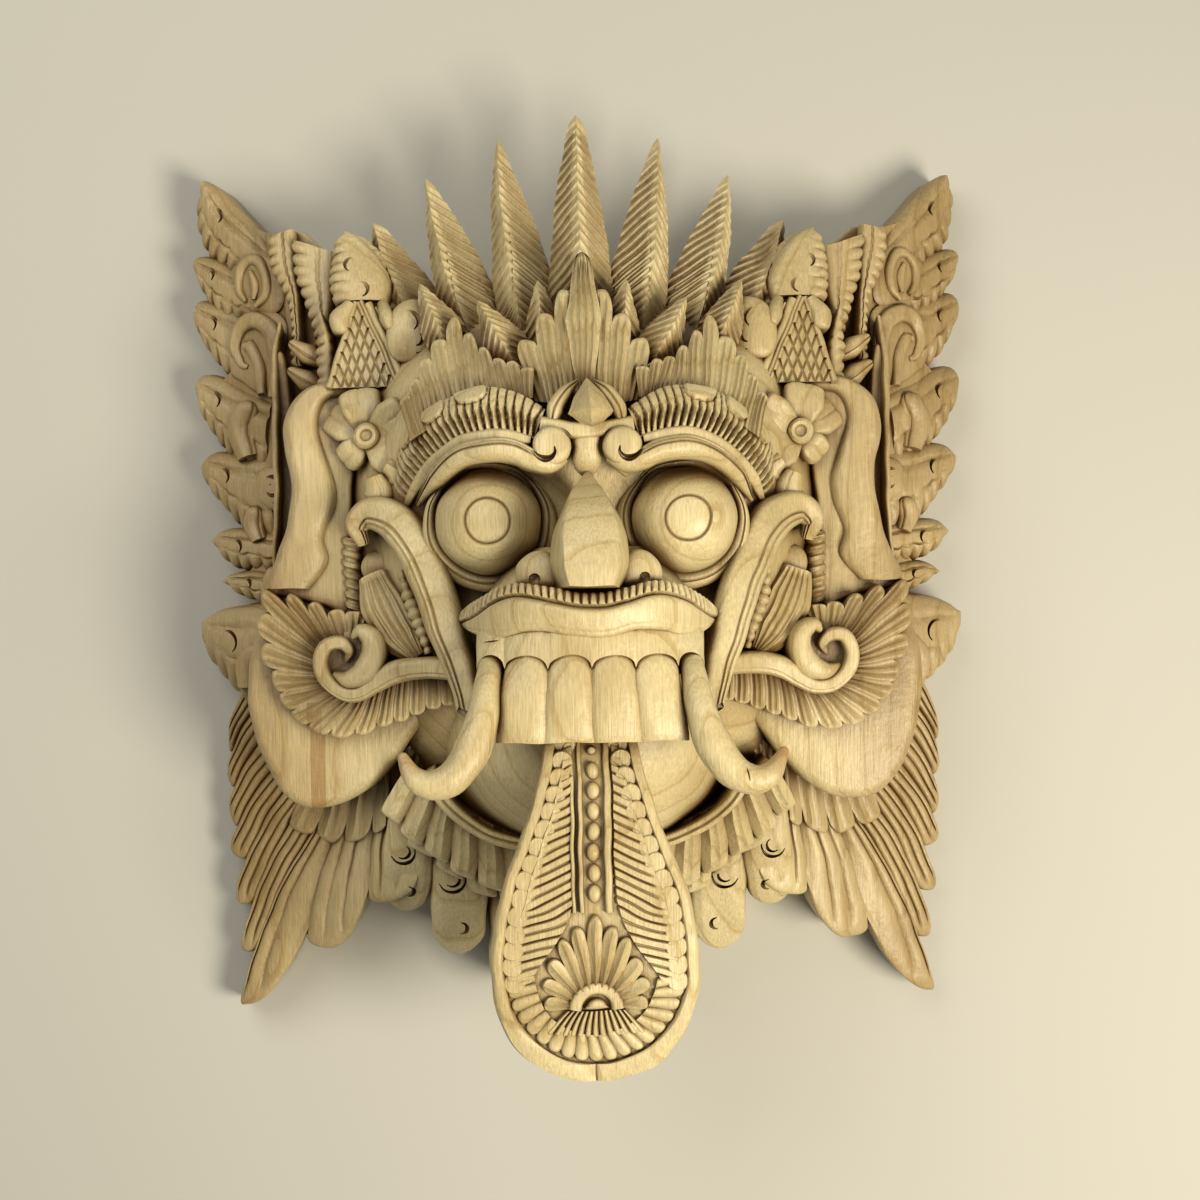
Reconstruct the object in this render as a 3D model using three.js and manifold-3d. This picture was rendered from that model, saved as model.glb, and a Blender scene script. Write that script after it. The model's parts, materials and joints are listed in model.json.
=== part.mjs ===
// A carved wooden demon-queen mask: a crown of feather spikes over three fluted palmettes, bulging eyes,
// a long lip over four broad teeth and two curved tusks, a hanging tongue, smooth ears with round lobes,
// and leafy wings with swept feathers below. The whole mask is one block of wood, hollowed from behind.
//
// Millimetres. The mask lies on its flat back: +X is to the viewer's right, +Y up the face towards the crown,
// and +Z out of the face. The origin is the middle of the mask's outline on the plane of its back.

import * as THREE from "three";
import { mergeVertices } from "three/addons/utils/BufferGeometryUtils.js";
import Module from "manifold-3d";

const wasm = await Module();
wasm.setup();

// Driving dimensions
const CROWN_TOP = 209.7; // height of the middle spike's line; its crest ends a little higher
const TONGUE_END = -210; // lowest point of the tongue, and of the mask
const UNDER_FLOOR = -6; // pieces are made a little too deep and cut flat at the back plane
const EYE = { x: 41.5, y: 21.5, z: 124, radius: 22.5 };
const PUPIL_RADIUS = 9.4;
const TOOTH = { half: 9.6, top: -36, bottom: -68.5, front: 180, thick: 28 };
const SMOOTHED = 1.6; // facets that move the surface less than this are merged
const LOWEST_TIP = 0.6; // half width left at a point, so that a tip stays a solid

// The head's own form: height up the face, half width, depth in front of the back plane
const HEAD = [
  [136, 84, 56],
  [118, 95, 84],
  [92, 106, 112],
  [56, 115, 126],
  [10, 118, 116],
  [-40, 111, 109],
  [-92, 85, 82],
  [-114, 60, 60],
];
const MUZZLE = [
  [10, 38, 142],
  [-2, 50, 159],
  [-16, 54, 169],
  [-38, 53, 170],
  [-54, 50, 166],
];
const JAW = [
  [-46, 66, 126],
  [-66, 72, 132],
  [-88, 71, 127],
  [-104, 63, 115],
  [-116, 47, 100],
  [-121, 30, 90],
];
const HOLLOW = [
  [104, 40, 50],
  [94, 62, 74],
  [66, 78, 96],
  [10, 82, 97],
  [-40, 76, 89],
  [-76, 58, 68],
  [-94, 36, 40],
];

// Small sums and curves
const OUT = new THREE.Vector3(0, 0, 1);
const mix = (a, b, t) => a + (b - a) * t;
const between = (p, q, t) => p.map((v, k) => mix(v, q[k], t));

function polar([x, y], degrees, radius) {
  const angle = THREE.MathUtils.degToRad(degrees);
  return [x + radius * Math.cos(angle), y + radius * Math.sin(angle)];
}

// A value that runs along a piece, given as one number or as evenly spaced ones.
function along(values, t) {
  if (!Array.isArray(values)) return values;
  const place = t * (values.length - 1);
  const i = Math.min(Math.floor(place), values.length - 2);
  return mix(values[i], values[i + 1], place - i);
}

// A table of [height, a, b, ...] read at a height between its rows.
function atHeight(table, y) {
  const last = table.length - 1;
  if (y >= table[0][0]) return table[0];
  if (y <= table[last][0]) return table[last];
  const i = table.findIndex((row) => row[0] <= y) - 1;
  const t = (table[i][0] - y) / (table[i][0] - table[i + 1][0]);
  return table[i].map((v, k) => mix(v, table[i + 1][k], t));
}

// Solids
function solidOf(geometry) {
  for (const name of Object.keys(geometry.attributes)) {
    if (name !== "position") geometry.deleteAttribute(name);
  }
  const merged = mergeVertices(geometry, 1e-4);
  const vertProperties = new Float32Array(merged.attributes.position.array);
  const triVerts = new Uint32Array(merged.index.array);
  const made = new wasm.Manifold(new wasm.Mesh({ numProp: 3, vertProperties, triVerts }));
  if (made.volume() > 0) return made;
  for (let i = 0; i < triVerts.length; i += 3) {
    [triVerts[i], triVerts[i + 1]] = [triVerts[i + 1], triVerts[i]];
  }
  return new wasm.Manifold(new wasm.Mesh({ numProp: 3, vertProperties, triVerts }));
}

// A closed solid through rings of points, each with the same number of points.
function loft(rings) {
  const n = rings[0].length;
  const last = (rings.length - 1) * n;
  const index = [];
  for (let a = 0; a < last; a += n) {
    for (let k = 0; k < n; k++) {
      const next = (k + 1) % n;
      index.push(a + k, a + next, a + n + k, a + next, a + n + next, a + n + k);
    }
  }
  for (let k = 1; k < n - 1; k++) index.push(0, k + 1, k, last, last + k, last + k + 1);
  const geometry = new THREE.BufferGeometry().setFromPoints(rings.flat());
  geometry.setIndex(index);
  return solidOf(geometry);
}

const SECTIONS = {
  keel: [
    [-1, 0],
    [0, 1],
    [1, 0],
  ],
  flat: [
    [-1, 0],
    [-0.8, 1],
    [0.8, 1],
    [1, 0],
  ],
  round: [
    [-1, 0],
    [-0.55, 0.9],
    [0.55, 0.9],
    [1, 0],
  ],
  full: [
    [-1, 0],
    [-0.6, 0.8],
    [0, 1],
    [0.6, 0.8],
    [1, 0],
  ],
};

// A carved strip along a line of points. half and crown are its half width and the height of its crest,
// root is how deep its sides run into the wood, and toFloor takes them straight down to the back instead.
function strip({ line, half, crown, root = 10, section = "round", steps = 4, flare = 1, up = OUT, toFloor }) {
  const curve = new THREE.CatmullRomCurve3(
    line.map((p) => new THREE.Vector3(...p)),
    false,
    "centripetal",
  );
  const shape = SECTIONS[section];
  const rings = [];
  for (let i = 0; i <= steps; i++) {
    const t = i / steps;
    const at = curve.getPoint(t);
    const side = curve.getTangent(t).cross(up).normalize();
    const rise = side.clone().cross(curve.getTangent(t)).normalize();
    const h = Math.max(along(half, t), LOWEST_TIP);
    const point = (s, r) => at.clone().addScaledVector(side, s).addScaledVector(rise, r);
    const ring = shape.map(([s, r]) => point(s * h, r * along(crown, t)));
    for (const s of [1, -1]) {
      const foot = point(s * h * flare, toFloor ? 0 : -along(root, t));
      if (toFloor) foot.z = UNDER_FLOOR;
      ring.push(foot);
    }
    rings.push(ring);
  }
  return loft(rings);
}

// A plate under a carved top: its edge runs straight down to a flat underside.
// top lists triangles that keep to the sense of the edge loop.
function plate(points, top, loop, bottom) {
  const flat = loop.map((k) => new THREE.Vector2(points[k].x, points[k].y));
  const turned = THREE.ShapeUtils.isClockWise(flat);
  const n = points.length;
  const index = top.flatMap(([a, b, c]) => (turned ? [a, c, b] : [a, b, c]));
  loop.forEach((a, k) => {
    const b = loop[(k + 1) % loop.length];
    const wall = [b, a, n + k, b, n + k, n + ((k + 1) % loop.length)];
    index.push(...(turned ? wall.reverse() : wall));
  });
  for (const [a, b, c] of THREE.ShapeUtils.triangulateShape(flat, [])) index.push(n + a, n + c, n + b);
  const under = flat.map((p) => new THREE.Vector3(p.x, p.y, bottom));
  const geometry = new THREE.BufferGeometry().setFromPoints([...points, ...under]);
  geometry.setIndex(index);
  return solidOf(geometry);
}

// A slab whose top follows a depth function.
function slab(outline, depth, bottom = UNDER_FLOOR) {
  const flat = outline.map((p) => new THREE.Vector2(...p));
  if (THREE.ShapeUtils.isClockWise(flat)) flat.reverse();
  const points = flat.map((p) => new THREE.Vector3(p.x, p.y, depth(p.x, p.y)));
  const loop = points.map((_, k) => k);
  return plate(points, THREE.ShapeUtils.triangulateShape(flat, []), loop, bottom);
}

// Leaves side by side that fan out from a line of feet to their own tips, with a ridge on each leaf,
// a valley between neighbours, and notches where the leaves part. rows say how far along the leaves
// the cross rows lie, and bow bends the leaves sideways by that share of their length.
function fluted({ feet, tips, rows = [0, 0.7], rise = 3, bow = 0, depth, bottom = UNDER_FLOOR }) {
  const n = tips.length;
  const foot = (t) => {
    const place = t * (feet.length - 1);
    const i = Math.min(Math.floor(place), feet.length - 2);
    return between(feet[i], feet[i + 1], place - i);
  };
  const aim = (j) => {
    if (j % 2) return tips[(j - 1) / 2];
    const [before, after] = [tips[j / 2 - 1], tips[j / 2]];
    if (before && after) return between(before, after, 0.5);
    const own = before ?? after;
    const [edge, ridge] = [foot(j / (2 * n)), foot(before ? 1 - 0.5 / n : 0.5 / n)];
    return own.map((v, k) => v + edge[k] - ridge[k]);
  };
  const place = (p, lift) => new THREE.Vector3(p[0], p[1], depth(p[0], p[1]) + lift);
  const points = [];
  for (const row of rows) {
    for (let j = 0; j <= 2 * n; j++) {
      const [from, to] = [foot(j / (2 * n)), aim(j)];
      const p = between(from, to, row);
      const push = bow * Math.sin(Math.PI * row);
      p[0] += push * (to[1] - from[1]);
      p[1] -= push * (to[0] - from[0]);
      points.push(place(p, j % 2 ? rise : 0));
    }
  }
  const width = 2 * n + 1;
  const last = (rows.length - 1) * width;
  const top = [];
  for (let a = 0; a < last; a += width) {
    for (let j = a; j < a + 2 * n; j++) top.push([j, j + 1, j + 1 + width], [j, j + 1 + width, j + width]);
  }
  const tipAt = points.length;
  tips.forEach((tip, i) => {
    points.push(place(tip, 0));
    const j = last + 2 * i;
    top.push([j, j + 1, tipAt + i], [j + 1, j + 2, tipAt + i]);
  });
  const loop = [];
  for (let j = 0; j < width; j++) loop.push(j);
  for (let a = width; a < last; a += width) loop.push(a + 2 * n);
  for (let i = n; i > 0; i--) loop.push(last + 2 * i, tipAt + i - 1);
  for (let a = last; a > 0; a -= width) loop.push(a);
  return plate(points, top, loop, bottom);
}

// A rounded body with a flat back, given by its half width and depth at several heights.
function dome(table, { columns = 7, widthPower = 3.2, depthPower = 2.2, floor = UNDER_FLOOR } = {}) {
  const rings = table.map(([y, width, depth]) => {
    const ring = [new THREE.Vector3(-width, y, floor)];
    for (let k = 0; k <= columns; k++) {
      const angle = Math.PI * (1 - k / columns);
      const c = Math.cos(angle);
      const x = width * Math.sign(c) * Math.abs(c) ** (2 / widthPower);
      ring.push(new THREE.Vector3(x, y, depth * Math.sin(angle) ** (2 / depthPower)));
    }
    ring.push(new THREE.Vector3(width, y, floor));
    return ring;
  });
  return loft(rings);
}

function headDepth(x, y) {
  const [, width, depth] = atHeight(HEAD, y);
  return depth * (1 - Math.min(1, Math.abs(x / width)) ** 3.2) ** (1 / 2.2);
}

const wingDepth = (x) => 58 - 0.55 * (Math.abs(x) - 110);
const tailDepth = (x) => 54 - 0.46 * (Math.abs(x) - 86);

function spun(profile, x, y, z, segments = 10) {
  const points = profile.map(([r, h]) => new THREE.Vector2(r, h));
  const geometry = new THREE.LatheGeometry(points, segments);
  geometry.rotateX(Math.PI / 2);
  geometry.translate(x, y, z);
  return solidOf(geometry);
}

// A low round boss that stands on a buried foot.
function boss(x, y, z, radius, rise, segments = 6) {
  const profile = [
    [0, -8],
    [radius, -8],
    [radius, rise * 0.4],
    [0, rise],
  ];
  return spun(profile, x, y, z, segments);
}

// A scroll: a strip that curls inwards from its outer radius.
function scroll({ x, y, z, radius, inner, from, turn, steps = 8, ...rest }) {
  const line = [];
  for (let i = 0; i <= steps; i++) {
    const t = i / steps;
    line.push([...polar([x, y], from + turn * t, mix(radius, inner, t)), z]);
  }
  return strip({ line, steps, ...rest });
}

function bothSides(parts) {
  return [...parts, ...parts.map((p) => p.mirror([1, 0, 0]))];
}

// Crown: feather spikes in two rows, each with a keel down its middle
const SPIKES = [
  { tip: [0, CROWN_TOP, 58], foot: [0, 96, 92], half: [14, 14, 10.6, 1] },
  { tip: [36, 199.5, 56], foot: [20, 98, 90], half: [13, 13.5, 8.2, 0.8] },
  { tip: [68.5, 183, 53], foot: [42, 98, 86], half: [13, 13.5, 8.2, 0.8] },
  { tip: [94, 163, 50], foot: [62, 94, 78], half: [13, 14, 9.5, 1] },
];
const FRONT_SPIKES = [
  { tip: [19, 126, 102], foot: [13, 92, 110], half: [8.5, 8, 1] },
  { tip: [43, 117, 104], foot: [30, 84, 114], half: [8.5, 8.5, 1] },
  { tip: [70, 129, 86], foot: [54, 92, 102], half: [9.5, 9, 1] },
];
const SPIKE_CREST = [10, 10, 6, 1];
const SPIKE_THICK = [20, 17, 12, 8];

function feather({ tip, foot, half }, crown, thick) {
  const lean = (t, bend) => foot.map((v, k) => mix(v, tip[k], t) + (k === 2 ? bend : 0));
  return strip({
    line: [foot, lean(0.4, 3), lean(0.75, 2), tip],
    half,
    crown,
    root: thick,
    flare: 0.75,
    section: "keel",
    steps: half.length - 1,
  });
}

function crown() {
  const [middle, ...outer] = SPIKES.map((s) => feather(s, SPIKE_CREST, SPIKE_THICK));
  const front = FRONT_SPIKES.map((s) => feather(s, [6, 6, 1], 12));
  return [middle, ...bothSides([...outer, ...front])];
}

// Palmettes: fans of fluted leaves over the brows and the middle of the forehead
const MIDDLE_FAN_TIPS = [
  [-31, 90],
  [-27, 100],
  [-19.5, 111],
  [-11, 121.5],
  [0, 138],
  [11, 121.5],
  [19.5, 111],
  [27, 100],
  [31, 90],
];
const SIDE_FAN_TIPS = [
  [76, 81],
  [71, 92],
  [64, 101.5],
  [55, 110.5],
  [48, 104],
  [42, 96.5],
  [34.5, 90.5],
];

function palmettes() {
  const middle = fluted({
    feet: [
      [-23, 76],
      [0, 72],
      [23, 76],
    ],
    tips: MIDDLE_FAN_TIPS,
    rows: [0, 0.72],
    rise: 4,
    depth: (x, y) => 134 - 0.42 * (y - 77) - 0.006 * x * x,
    bottom: 70,
  });
  const side = fluted({
    feet: [
      [70, 62],
      [62, 70],
      [48, 76],
      [31, 77],
    ],
    tips: SIDE_FAN_TIPS,
    rows: [0, 0.72],
    rise: 4,
    depth: (x, y) => 133 - 0.42 * (x - 30) - 0.48 * (y - 77),
    bottom: 60,
  });
  return [middle, ...bothSides([side])];
}

// Brows: a broad hair band over a smooth ridge that ends in a scroll beside the nose
function brows() {
  const band = strip({
    line: [
      [80, 40, 102],
      [72, 52, 117],
      [60, 62, 128],
      [46, 66.5, 136],
      [33, 67, 141],
      [19, 63, 144],
    ],
    half: [5, 12, 13.5, 13, 10],
    crown: 3,
    root: 14,
    section: "flat",
    steps: 4,
  });
  const ridge = strip({
    line: [
      [19, 55, 150],
      [28, 55.5, 150],
      [41, 54, 147],
      [55, 50, 139],
      [67, 42, 127],
      [76, 32, 112],
    ],
    half: [4.5, 6, 6, 5, 1.5],
    crown: [4, 5, 5, 4, 1],
    root: 16,
    steps: 4,
  });
  const curl = scroll({
    ...{ x: 14.3, y: 51.5, z: 150, radius: 5.5, inner: 1 },
    ...{ from: 60, turn: 280, half: [3.2, 1.8], crown: 3, steps: 3, section: "keel" },
  });
  const tabs = [
    [30, 74, 144],
    [50, 74, 138],
    [72, 60, 123],
  ].map(([x, y, z]) => boss(x, y, z, 5.5, 5, 4));
  const besideJewel = boss(14.5, 70, 145, 5.5, 5, 4);
  return bothSides([band, ridge, curl, besideJewel, ...tabs]);
}

function jewel() {
  const ledge = strip({
    line: [
      [-19, 62, 148],
      [0, 60.5, 150],
      [19, 62, 148],
    ],
    half: 3.2,
    crown: 2.5,
    section: "flat",
    steps: 2,
  });
  const pyramid = strip({
    line: [
      [0, 62.5, 152],
      [0, 67, 154],
      [0, 77, 148],
    ],
    half: [11.5, 9, 0.8],
    crown: [3, 7, 1],
    section: "keel",
    steps: 2,
  });
  const bridge = strip({
    line: [
      [0, 61, 147],
      [0, 50, 146],
      [0, 36, 144],
    ],
    half: [11, 8, 6],
    crown: 3,
    section: "round",
    steps: 2,
  });
  return [ledge, pyramid, bridge];
}

// Eyes: round balls with an incised pupil, in a raised lid
function eyes() {
  const ball = solidOf(
    new THREE.SphereGeometry(EYE.radius, 10, 7).rotateX(Math.PI / 2).translate(EYE.x, EYE.y, EYE.z),
  );
  const groove = spun(
    [
      [PUPIL_RADIUS - 0.7, 19],
      [PUPIL_RADIUS + 0.7, 19],
      [PUPIL_RADIUS + 0.7, 26],
      [PUPIL_RADIUS - 0.7, 26],
      [PUPIL_RADIUS - 0.7, 19],
    ],
    EYE.x,
    EYE.y,
    EYE.z,
    7,
  );
  const lid = scroll({
    ...{ x: EYE.x, y: EYE.y, z: 121, radius: 24.5, inner: 24.5 },
    ...{ from: 150, turn: 235, half: [1.5, 3.5, 4, 3.5, 1.5], crown: 3, root: 22, steps: 4, section: "keel" },
  });
  return bothSides([ball.subtract(groove), lid]);
}

// Nose and mouth
function nose() {
  const bulb = strip({
    line: [
      [0, 40, 146],
      [0, 28, 155],
      [0, 14, 167],
      [0, 3, 174],
      [0, -7.5, 172],
    ],
    half: [1.5, 9, 14, 16.2, 14.5],
    crown: [2, 11, 15, 17, 15],
    root: 24,
    steps: 5,
    section: "full",
  });
  const nostril = boss(20, 0.5, 157, 8, 8);
  const hole = spun(
    [
      [0, 3],
      [2.2, 3],
      [2.2, 14],
      [0, 14],
    ],
    19,
    -2,
    157,
    6,
  );
  return [bulb, ...bothSides([nostril.subtract(hole)])];
}

const LIP_BAND = [
  [53, -17, 132],
  [45, -12.5, 148],
  [34, -10, 159],
  [21, -10.5, 168],
  [0, -14, 173],
];
const LIP = [
  [54, -24.5, 130],
  [46, -22, 148],
  [33, -20, 162],
  [19, -20, 170],
  [0, -22, 174],
];
const acrossFace = (half) => [...half, ...half.slice(0, -1).reverse().map(([x, y, z]) => [-x, y, z])];

function lips() {
  const moustache = strip({ line: acrossFace(LIP_BAND), half: 2.9, crown: 3, root: 14, section: "flat", steps: 8 });
  const lip = strip({
    line: acrossFace(LIP),
    half: [0.8, 5.5, 6.6, 6.2, 6.2, 6.2, 6.6, 5.5, 0.8],
    crown: [1, 5, 6, 6, 6, 6, 6, 5, 1],
    root: 18,
    steps: 8,
  });
  return [moustache, lip];
}

function teeth() {
  const scallop = [
    [-1, 0],
    [-0.55, 1],
    [0.55, 1],
  ];
  const row = (y, front, swell) => {
    const ring = [new THREE.Vector3(-4 * TOOTH.half, y, TOOTH.front - TOOTH.thick)];
    for (const centre of [-3, -1, 1, 3]) {
      const back = Math.abs(centre) > 1 ? 2.5 : 0;
      for (const [s, r] of scallop) {
        ring.push(new THREE.Vector3((centre + s) * TOOTH.half, y, front - back + r * swell));
      }
    }
    ring.push(new THREE.Vector3(4 * TOOTH.half, y, front - 2.5));
    ring.push(new THREE.Vector3(4 * TOOTH.half, y, TOOTH.front - TOOTH.thick));
    return ring;
  };
  return [
    loft([
      row(TOOTH.top, TOOTH.front - 10, 0.5),
      row(TOOTH.top - 4, TOOTH.front - 3, 4.5),
      row(TOOTH.bottom, TOOTH.front, 4.5),
    ]),
  ];
}

const TUSK = [
  [42, -34, 165],
  [42.5, -50, 170],
  [45, -66, 174],
  [52, -78, 177],
  [62, -84, 179],
  [71, -82, 178],
  [76.5, -72, 175],
];

function tusks() {
  return bothSides([
    strip({
      line: TUSK,
      half: [4, 6.5, 7.2, 7.4, 6.6, 4.8, 0.8],
      crown: [4, 6, 6.6, 6.2, 5.4, 4, 1],
      root: [10, 9, 8, 7, 6, 4, 1],
      flare: 0.5,
      steps: 6,
      section: "round",
    }),
  ]);
}

// Cheeks: a rolled ridge from the ear to the corner of the mouth, with a feathered hollow behind it
const CHEEK_RIDGE = [
  [101, 12, 98],
  [99.5, 22.5, 100],
  [90, 27, 104],
  [77, 18.5, 112],
  [67, -1, 121],
  [59, -24, 130],
  [53, -44, 137],
  [48, -57, 141],
];

function cheeks() {
  const ridge = strip({
    line: CHEEK_RIDGE,
    half: [3, 5.5, 7, 8.5, 8.5, 7.5, 5.5, 2.5],
    crown: [3, 5, 6, 7, 7, 6, 5, 2],
    root: [8, 12, 22, 28, 28, 26, 22, 16],
    steps: 7,
  });
  const pocket = fluted({
    feet: [
      [101, 6],
      [84, -8],
      [72, -30],
    ],
    tips: [
      [103, -8],
      [99, -16],
      [92, -24],
      [84, -32],
    ],
    rows: [0, 0.8],
    rise: 2.5,
    depth: (x) => 80 + 0.3 * (100 - x),
    bottom: 50,
  });
  return bothSides([ridge, pocket, boss(88, 4, 86, 7, 4, 5)]);
}

// Jaw: a rounded chin with a raised hem and a ruff of small fluted leaves
const JAW_HEM = [
  [71, -86, 96],
  [62, -101, 96],
  [49, -112, 93],
  [34, -118, 91],
  [17, -121, 90],
  [0, -121.5, 90],
];
const RUFF_TIPS = [
  [86, -109],
  [74, -119],
  [61, -129],
  [47, -138],
  [30, -145.5],
  [11, -148],
];

function jaw() {
  const hem = strip({ line: acrossFace(JAW_HEM), half: 2.4, crown: 2.5, root: 36, section: "flat", steps: 6 });
  const ruff = fluted({
    feet: [
      [80, -84],
      [62, -100],
      [36, -114],
      [-2, -119],
    ],
    tips: RUFF_TIPS,
    rows: [0, 0.78],
    rise: 4,
    depth: (x, y) => 84 + 0.45 * (y + 110),
  });
  return [dome(JAW, { widthPower: 2.8 }), hem, ...bothSides([ruff])];
}

// Ears: a smooth bar that bends over a five-petalled flower, and a broad round lobe
const EAR = [
  [104, 86, 84],
  [117, 85.5, 84],
  [127, 77, 83],
  [127.5, 58, 84],
  [124, 38, 86],
  [123.5, 18, 87],
  [128, 0, 86],
  [133, -16, 84],
];
const LOBE = [
  [128, -6],
  [141, -12],
  [149, -30],
  [150.5, -48],
  [149, -66],
  [143.5, -85],
  [132, -98.5],
  [117, -102.5],
  [103, -99],
  [90, -88],
  [78, -72],
  [72, -58],
  [84, -30],
];
const FLOWER = { x: 96, y: 62, z: 92, petal: 9, reach: 13.5 };
const CURL = { x: 103.5, y: -40.5, z: 100, radius: 14 };

function ears() {
  const bar = strip({
    line: EAR,
    half: [4, 6, 8.5, 9.5, 10.5, 10.5, 11, 13],
    crown: [4, 6, 7, 7, 7, 7, 6, 4],
    toFloor: true,
    steps: 6,
  });
  const rim = slab(
    [
      [134, 98],
      [139, 98],
      [140, 58],
      [137, 20],
      [141, -12],
      [134, -12],
    ],
    () => 62,
  );
  const lobe = solidOf(
    new THREE.ExtrudeGeometry(new THREE.Shape(LOBE.map((p) => new THREE.Vector2(...p))), {
      depth: 76,
      bevelThickness: 4,
      bevelSize: 3,
      bevelOffset: -3,
      bevelSegments: 1,
    }),
  );
  const centre = [FLOWER.x, FLOWER.y];
  const petals = [14, 83, 150, -125, -55].map((degrees) =>
    strip({
      line: [
        [...polar(centre, degrees, 2), FLOWER.z - 2],
        [...polar(centre, degrees, 13), FLOWER.z + 1],
        [...polar(centre, degrees, 22), FLOWER.z - 1],
      ],
      half: [3, 8.8, 4.5],
      crown: 2.5,
      root: 12,
      section: "flat",
      steps: 2,
    }),
  );
  return bothSides([bar, rim, lobe, ...petals, boss(...centre, FLOWER.z, 6.2, 6.5)]);
}

// Curl below the ear: a rolled end with a fan of petals round it, and an arm to the cheek
// that carries a comb of small leaves
const CURL_PETALS = [
  [78, 25],
  [58, 31],
  [38, 45],
  [21, 43],
  [3, 36],
  [-16, 33],
  [-35, 33],
  [-55, 32],
  [-76, 32],
  [-98, 32],
  [-120, 31],
];
const ARM_COMB_TIPS = [
  [88, -66],
  [78, -61],
  [68, -57.5],
  [58, -56],
];

function curls() {
  const { x, y, z, radius } = CURL;
  const roll = scroll({
    ...{ x, y, z, radius: radius - 4, inner: 3 },
    ...{ from: -110, turn: 350, half: [4.5, 4.5, 3], crown: 6, root: 16, steps: 5, section: "keel" },
  });
  const fan = fluted({
    feet: [88, ...CURL_PETALS.map(([degrees]) => degrees - 10)].map((degrees) => polar([x, y], degrees, radius - 6)),
    tips: CURL_PETALS.map(([degrees, reach]) => polar([x, y], degrees, reach)),
    rows: [0, 0.75],
    rise: 3.5,
    depth: (px, py) => z - 6 - 0.12 * Math.hypot(px - x, py - y),
    bottom: 60,
  });
  const comb = fluted({
    feet: [
      [94, -50],
      [55, -44],
    ],
    tips: ARM_COMB_TIPS,
    rows: [0, 0.75],
    rise: 3,
    depth: (px) => 92 + 0.3 * (97 - px),
    bottom: 60,
  });
  const arm = strip({
    line: [
      [97, -51, 97],
      [82, -47, 104],
      [66, -41, 112],
      [52, -43, 118],
    ],
    half: [4, 5, 4],
    crown: 4,
    root: 26,
    steps: 2,
  });
  return bothSides([roll, fan, comb, arm]);
}

// Headdress beside the palmettes: a tall leaf over a latticed triangle, and a column of dark leaves
const TALL_LEAF = [
  [111, 144],
  [106, 159],
  [94, 153],
  [86, 142],
  [83, 126],
  [107, 122],
  [111, 130],
];
const SIDE_CLOTH = [
  [145, 157],
  [139, 160],
  [127, 159.5],
  [116, 151],
  [92, 138],
  [84, 100],
  [100, 80],
  [136, 80],
  [136, 120],
];

function headdress() {
  const cloth = slab(SIDE_CLOTH, (x) => 58 - 0.35 * (x - 105));
  const tallLeaf = slab(TALL_LEAF, (x, y) => 78 - 0.33 * (y - 120));
  const lattice = slab(
    [
      [99, 122],
      [109, 82],
      [81, 82],
    ],
    (x, y) => 92 - 0.3 * (y - 82),
  );
  const innerLeaf = strip({
    line: [
      [80, 90, 92],
      [79, 108, 90],
      [73, 122, 84],
    ],
    half: [8, 9.5, 1.5],
    crown: 4,
    root: 40,
    steps: 2,
  });
  const columns = [
    { foot: [122, 92], tip: [121, 154], z: 60 },
    { foot: [132, 96], tip: [136, 158], z: 55 },
  ].map(({ foot, tip, z }) =>
    strip({
      line: [
        [...foot, z],
        [...between(foot, tip, 0.6), z - 3],
        [...tip, z - 7],
      ],
      half: [6, 7, 2],
      crown: 4,
      root: 4,
      section: "keel",
      steps: 2,
    }),
  );
  return bothSides([cloth, tallLeaf, lattice, innerLeaf, ...columns]);
}

// Wings: a board that slopes back, its edge cut into big leaves that point outwards and up,
// with rolled scrolls near the top
const WING_EDGE = [
  [152, 163],
  [161, 172.5],
  [168, 181],
  [173.5, 187.5],
  [177.5, 180],
  [178, 166],
  [170.5, 152.5],
  [182, 149.5],
  [178, 141],
  [172, 130],
  [181, 124.5],
  [176, 110],
  [167.5, 95.5],
  [181, 90],
  [176, 76],
  [160, 59.5],
  [178, 52.5],
  [170, 38],
  [157, 24],
  [173, 16.5],
  [168, 9],
  [160, 4],
  [167.5, 0],
  [155, -9.5],
  [177, -18.5],
  [176.5, -35],
  [158, -56],
];
const WING_ROOT = [
  [110, -60],
  [110, 90],
  [145, 157],
];
const WING_RIBS = [
  { root: [150, 150], tip: [172, 181], half: 9 },
  { root: [158, 138], tip: [178, 148], half: 6 },
  { root: [156, 106], tip: [177, 121], half: 8 },
  { root: [146, 66], tip: [176, 87], half: 10 },
  { root: [142, 34], tip: [173, 50], half: 10 },
  { root: [142, 4], tip: [169, 15], half: 6 },
  { root: [142, -12], tip: [163, -1], half: 5 },
  { root: [144, -46], tip: [173, -22], half: 11 },
];

function wings() {
  const board = slab([...WING_EDGE, ...WING_ROOT], (x) => wingDepth(x));
  const ribs = WING_RIBS.map(({ root, tip, half }) =>
    strip({
      line: [
        [...root, wingDepth(root[0])],
        [...tip, wingDepth(tip[0]) - 0.5],
      ],
      half: [half, 1.5],
      crown: [4, 1],
      root: 3,
      section: "keel",
      steps: 1,
    }),
  );
  const scrolls = [
    { x: 151.5, y: 134, radius: 12, from: 250 },
    { x: 150, y: 101, radius: 16, from: 240 },
  ].map(({ x, y, radius, from }) =>
    scroll({
      ...{ x, y, z: wingDepth(x) + 2, radius, inner: 4 },
      ...{ from, turn: 330, half: [5, 5, 2.5], crown: 5, steps: 4, root: 8, section: "keel" },
    }),
  );
  return bothSides([board, ...ribs, ...scrolls]);
}

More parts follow.
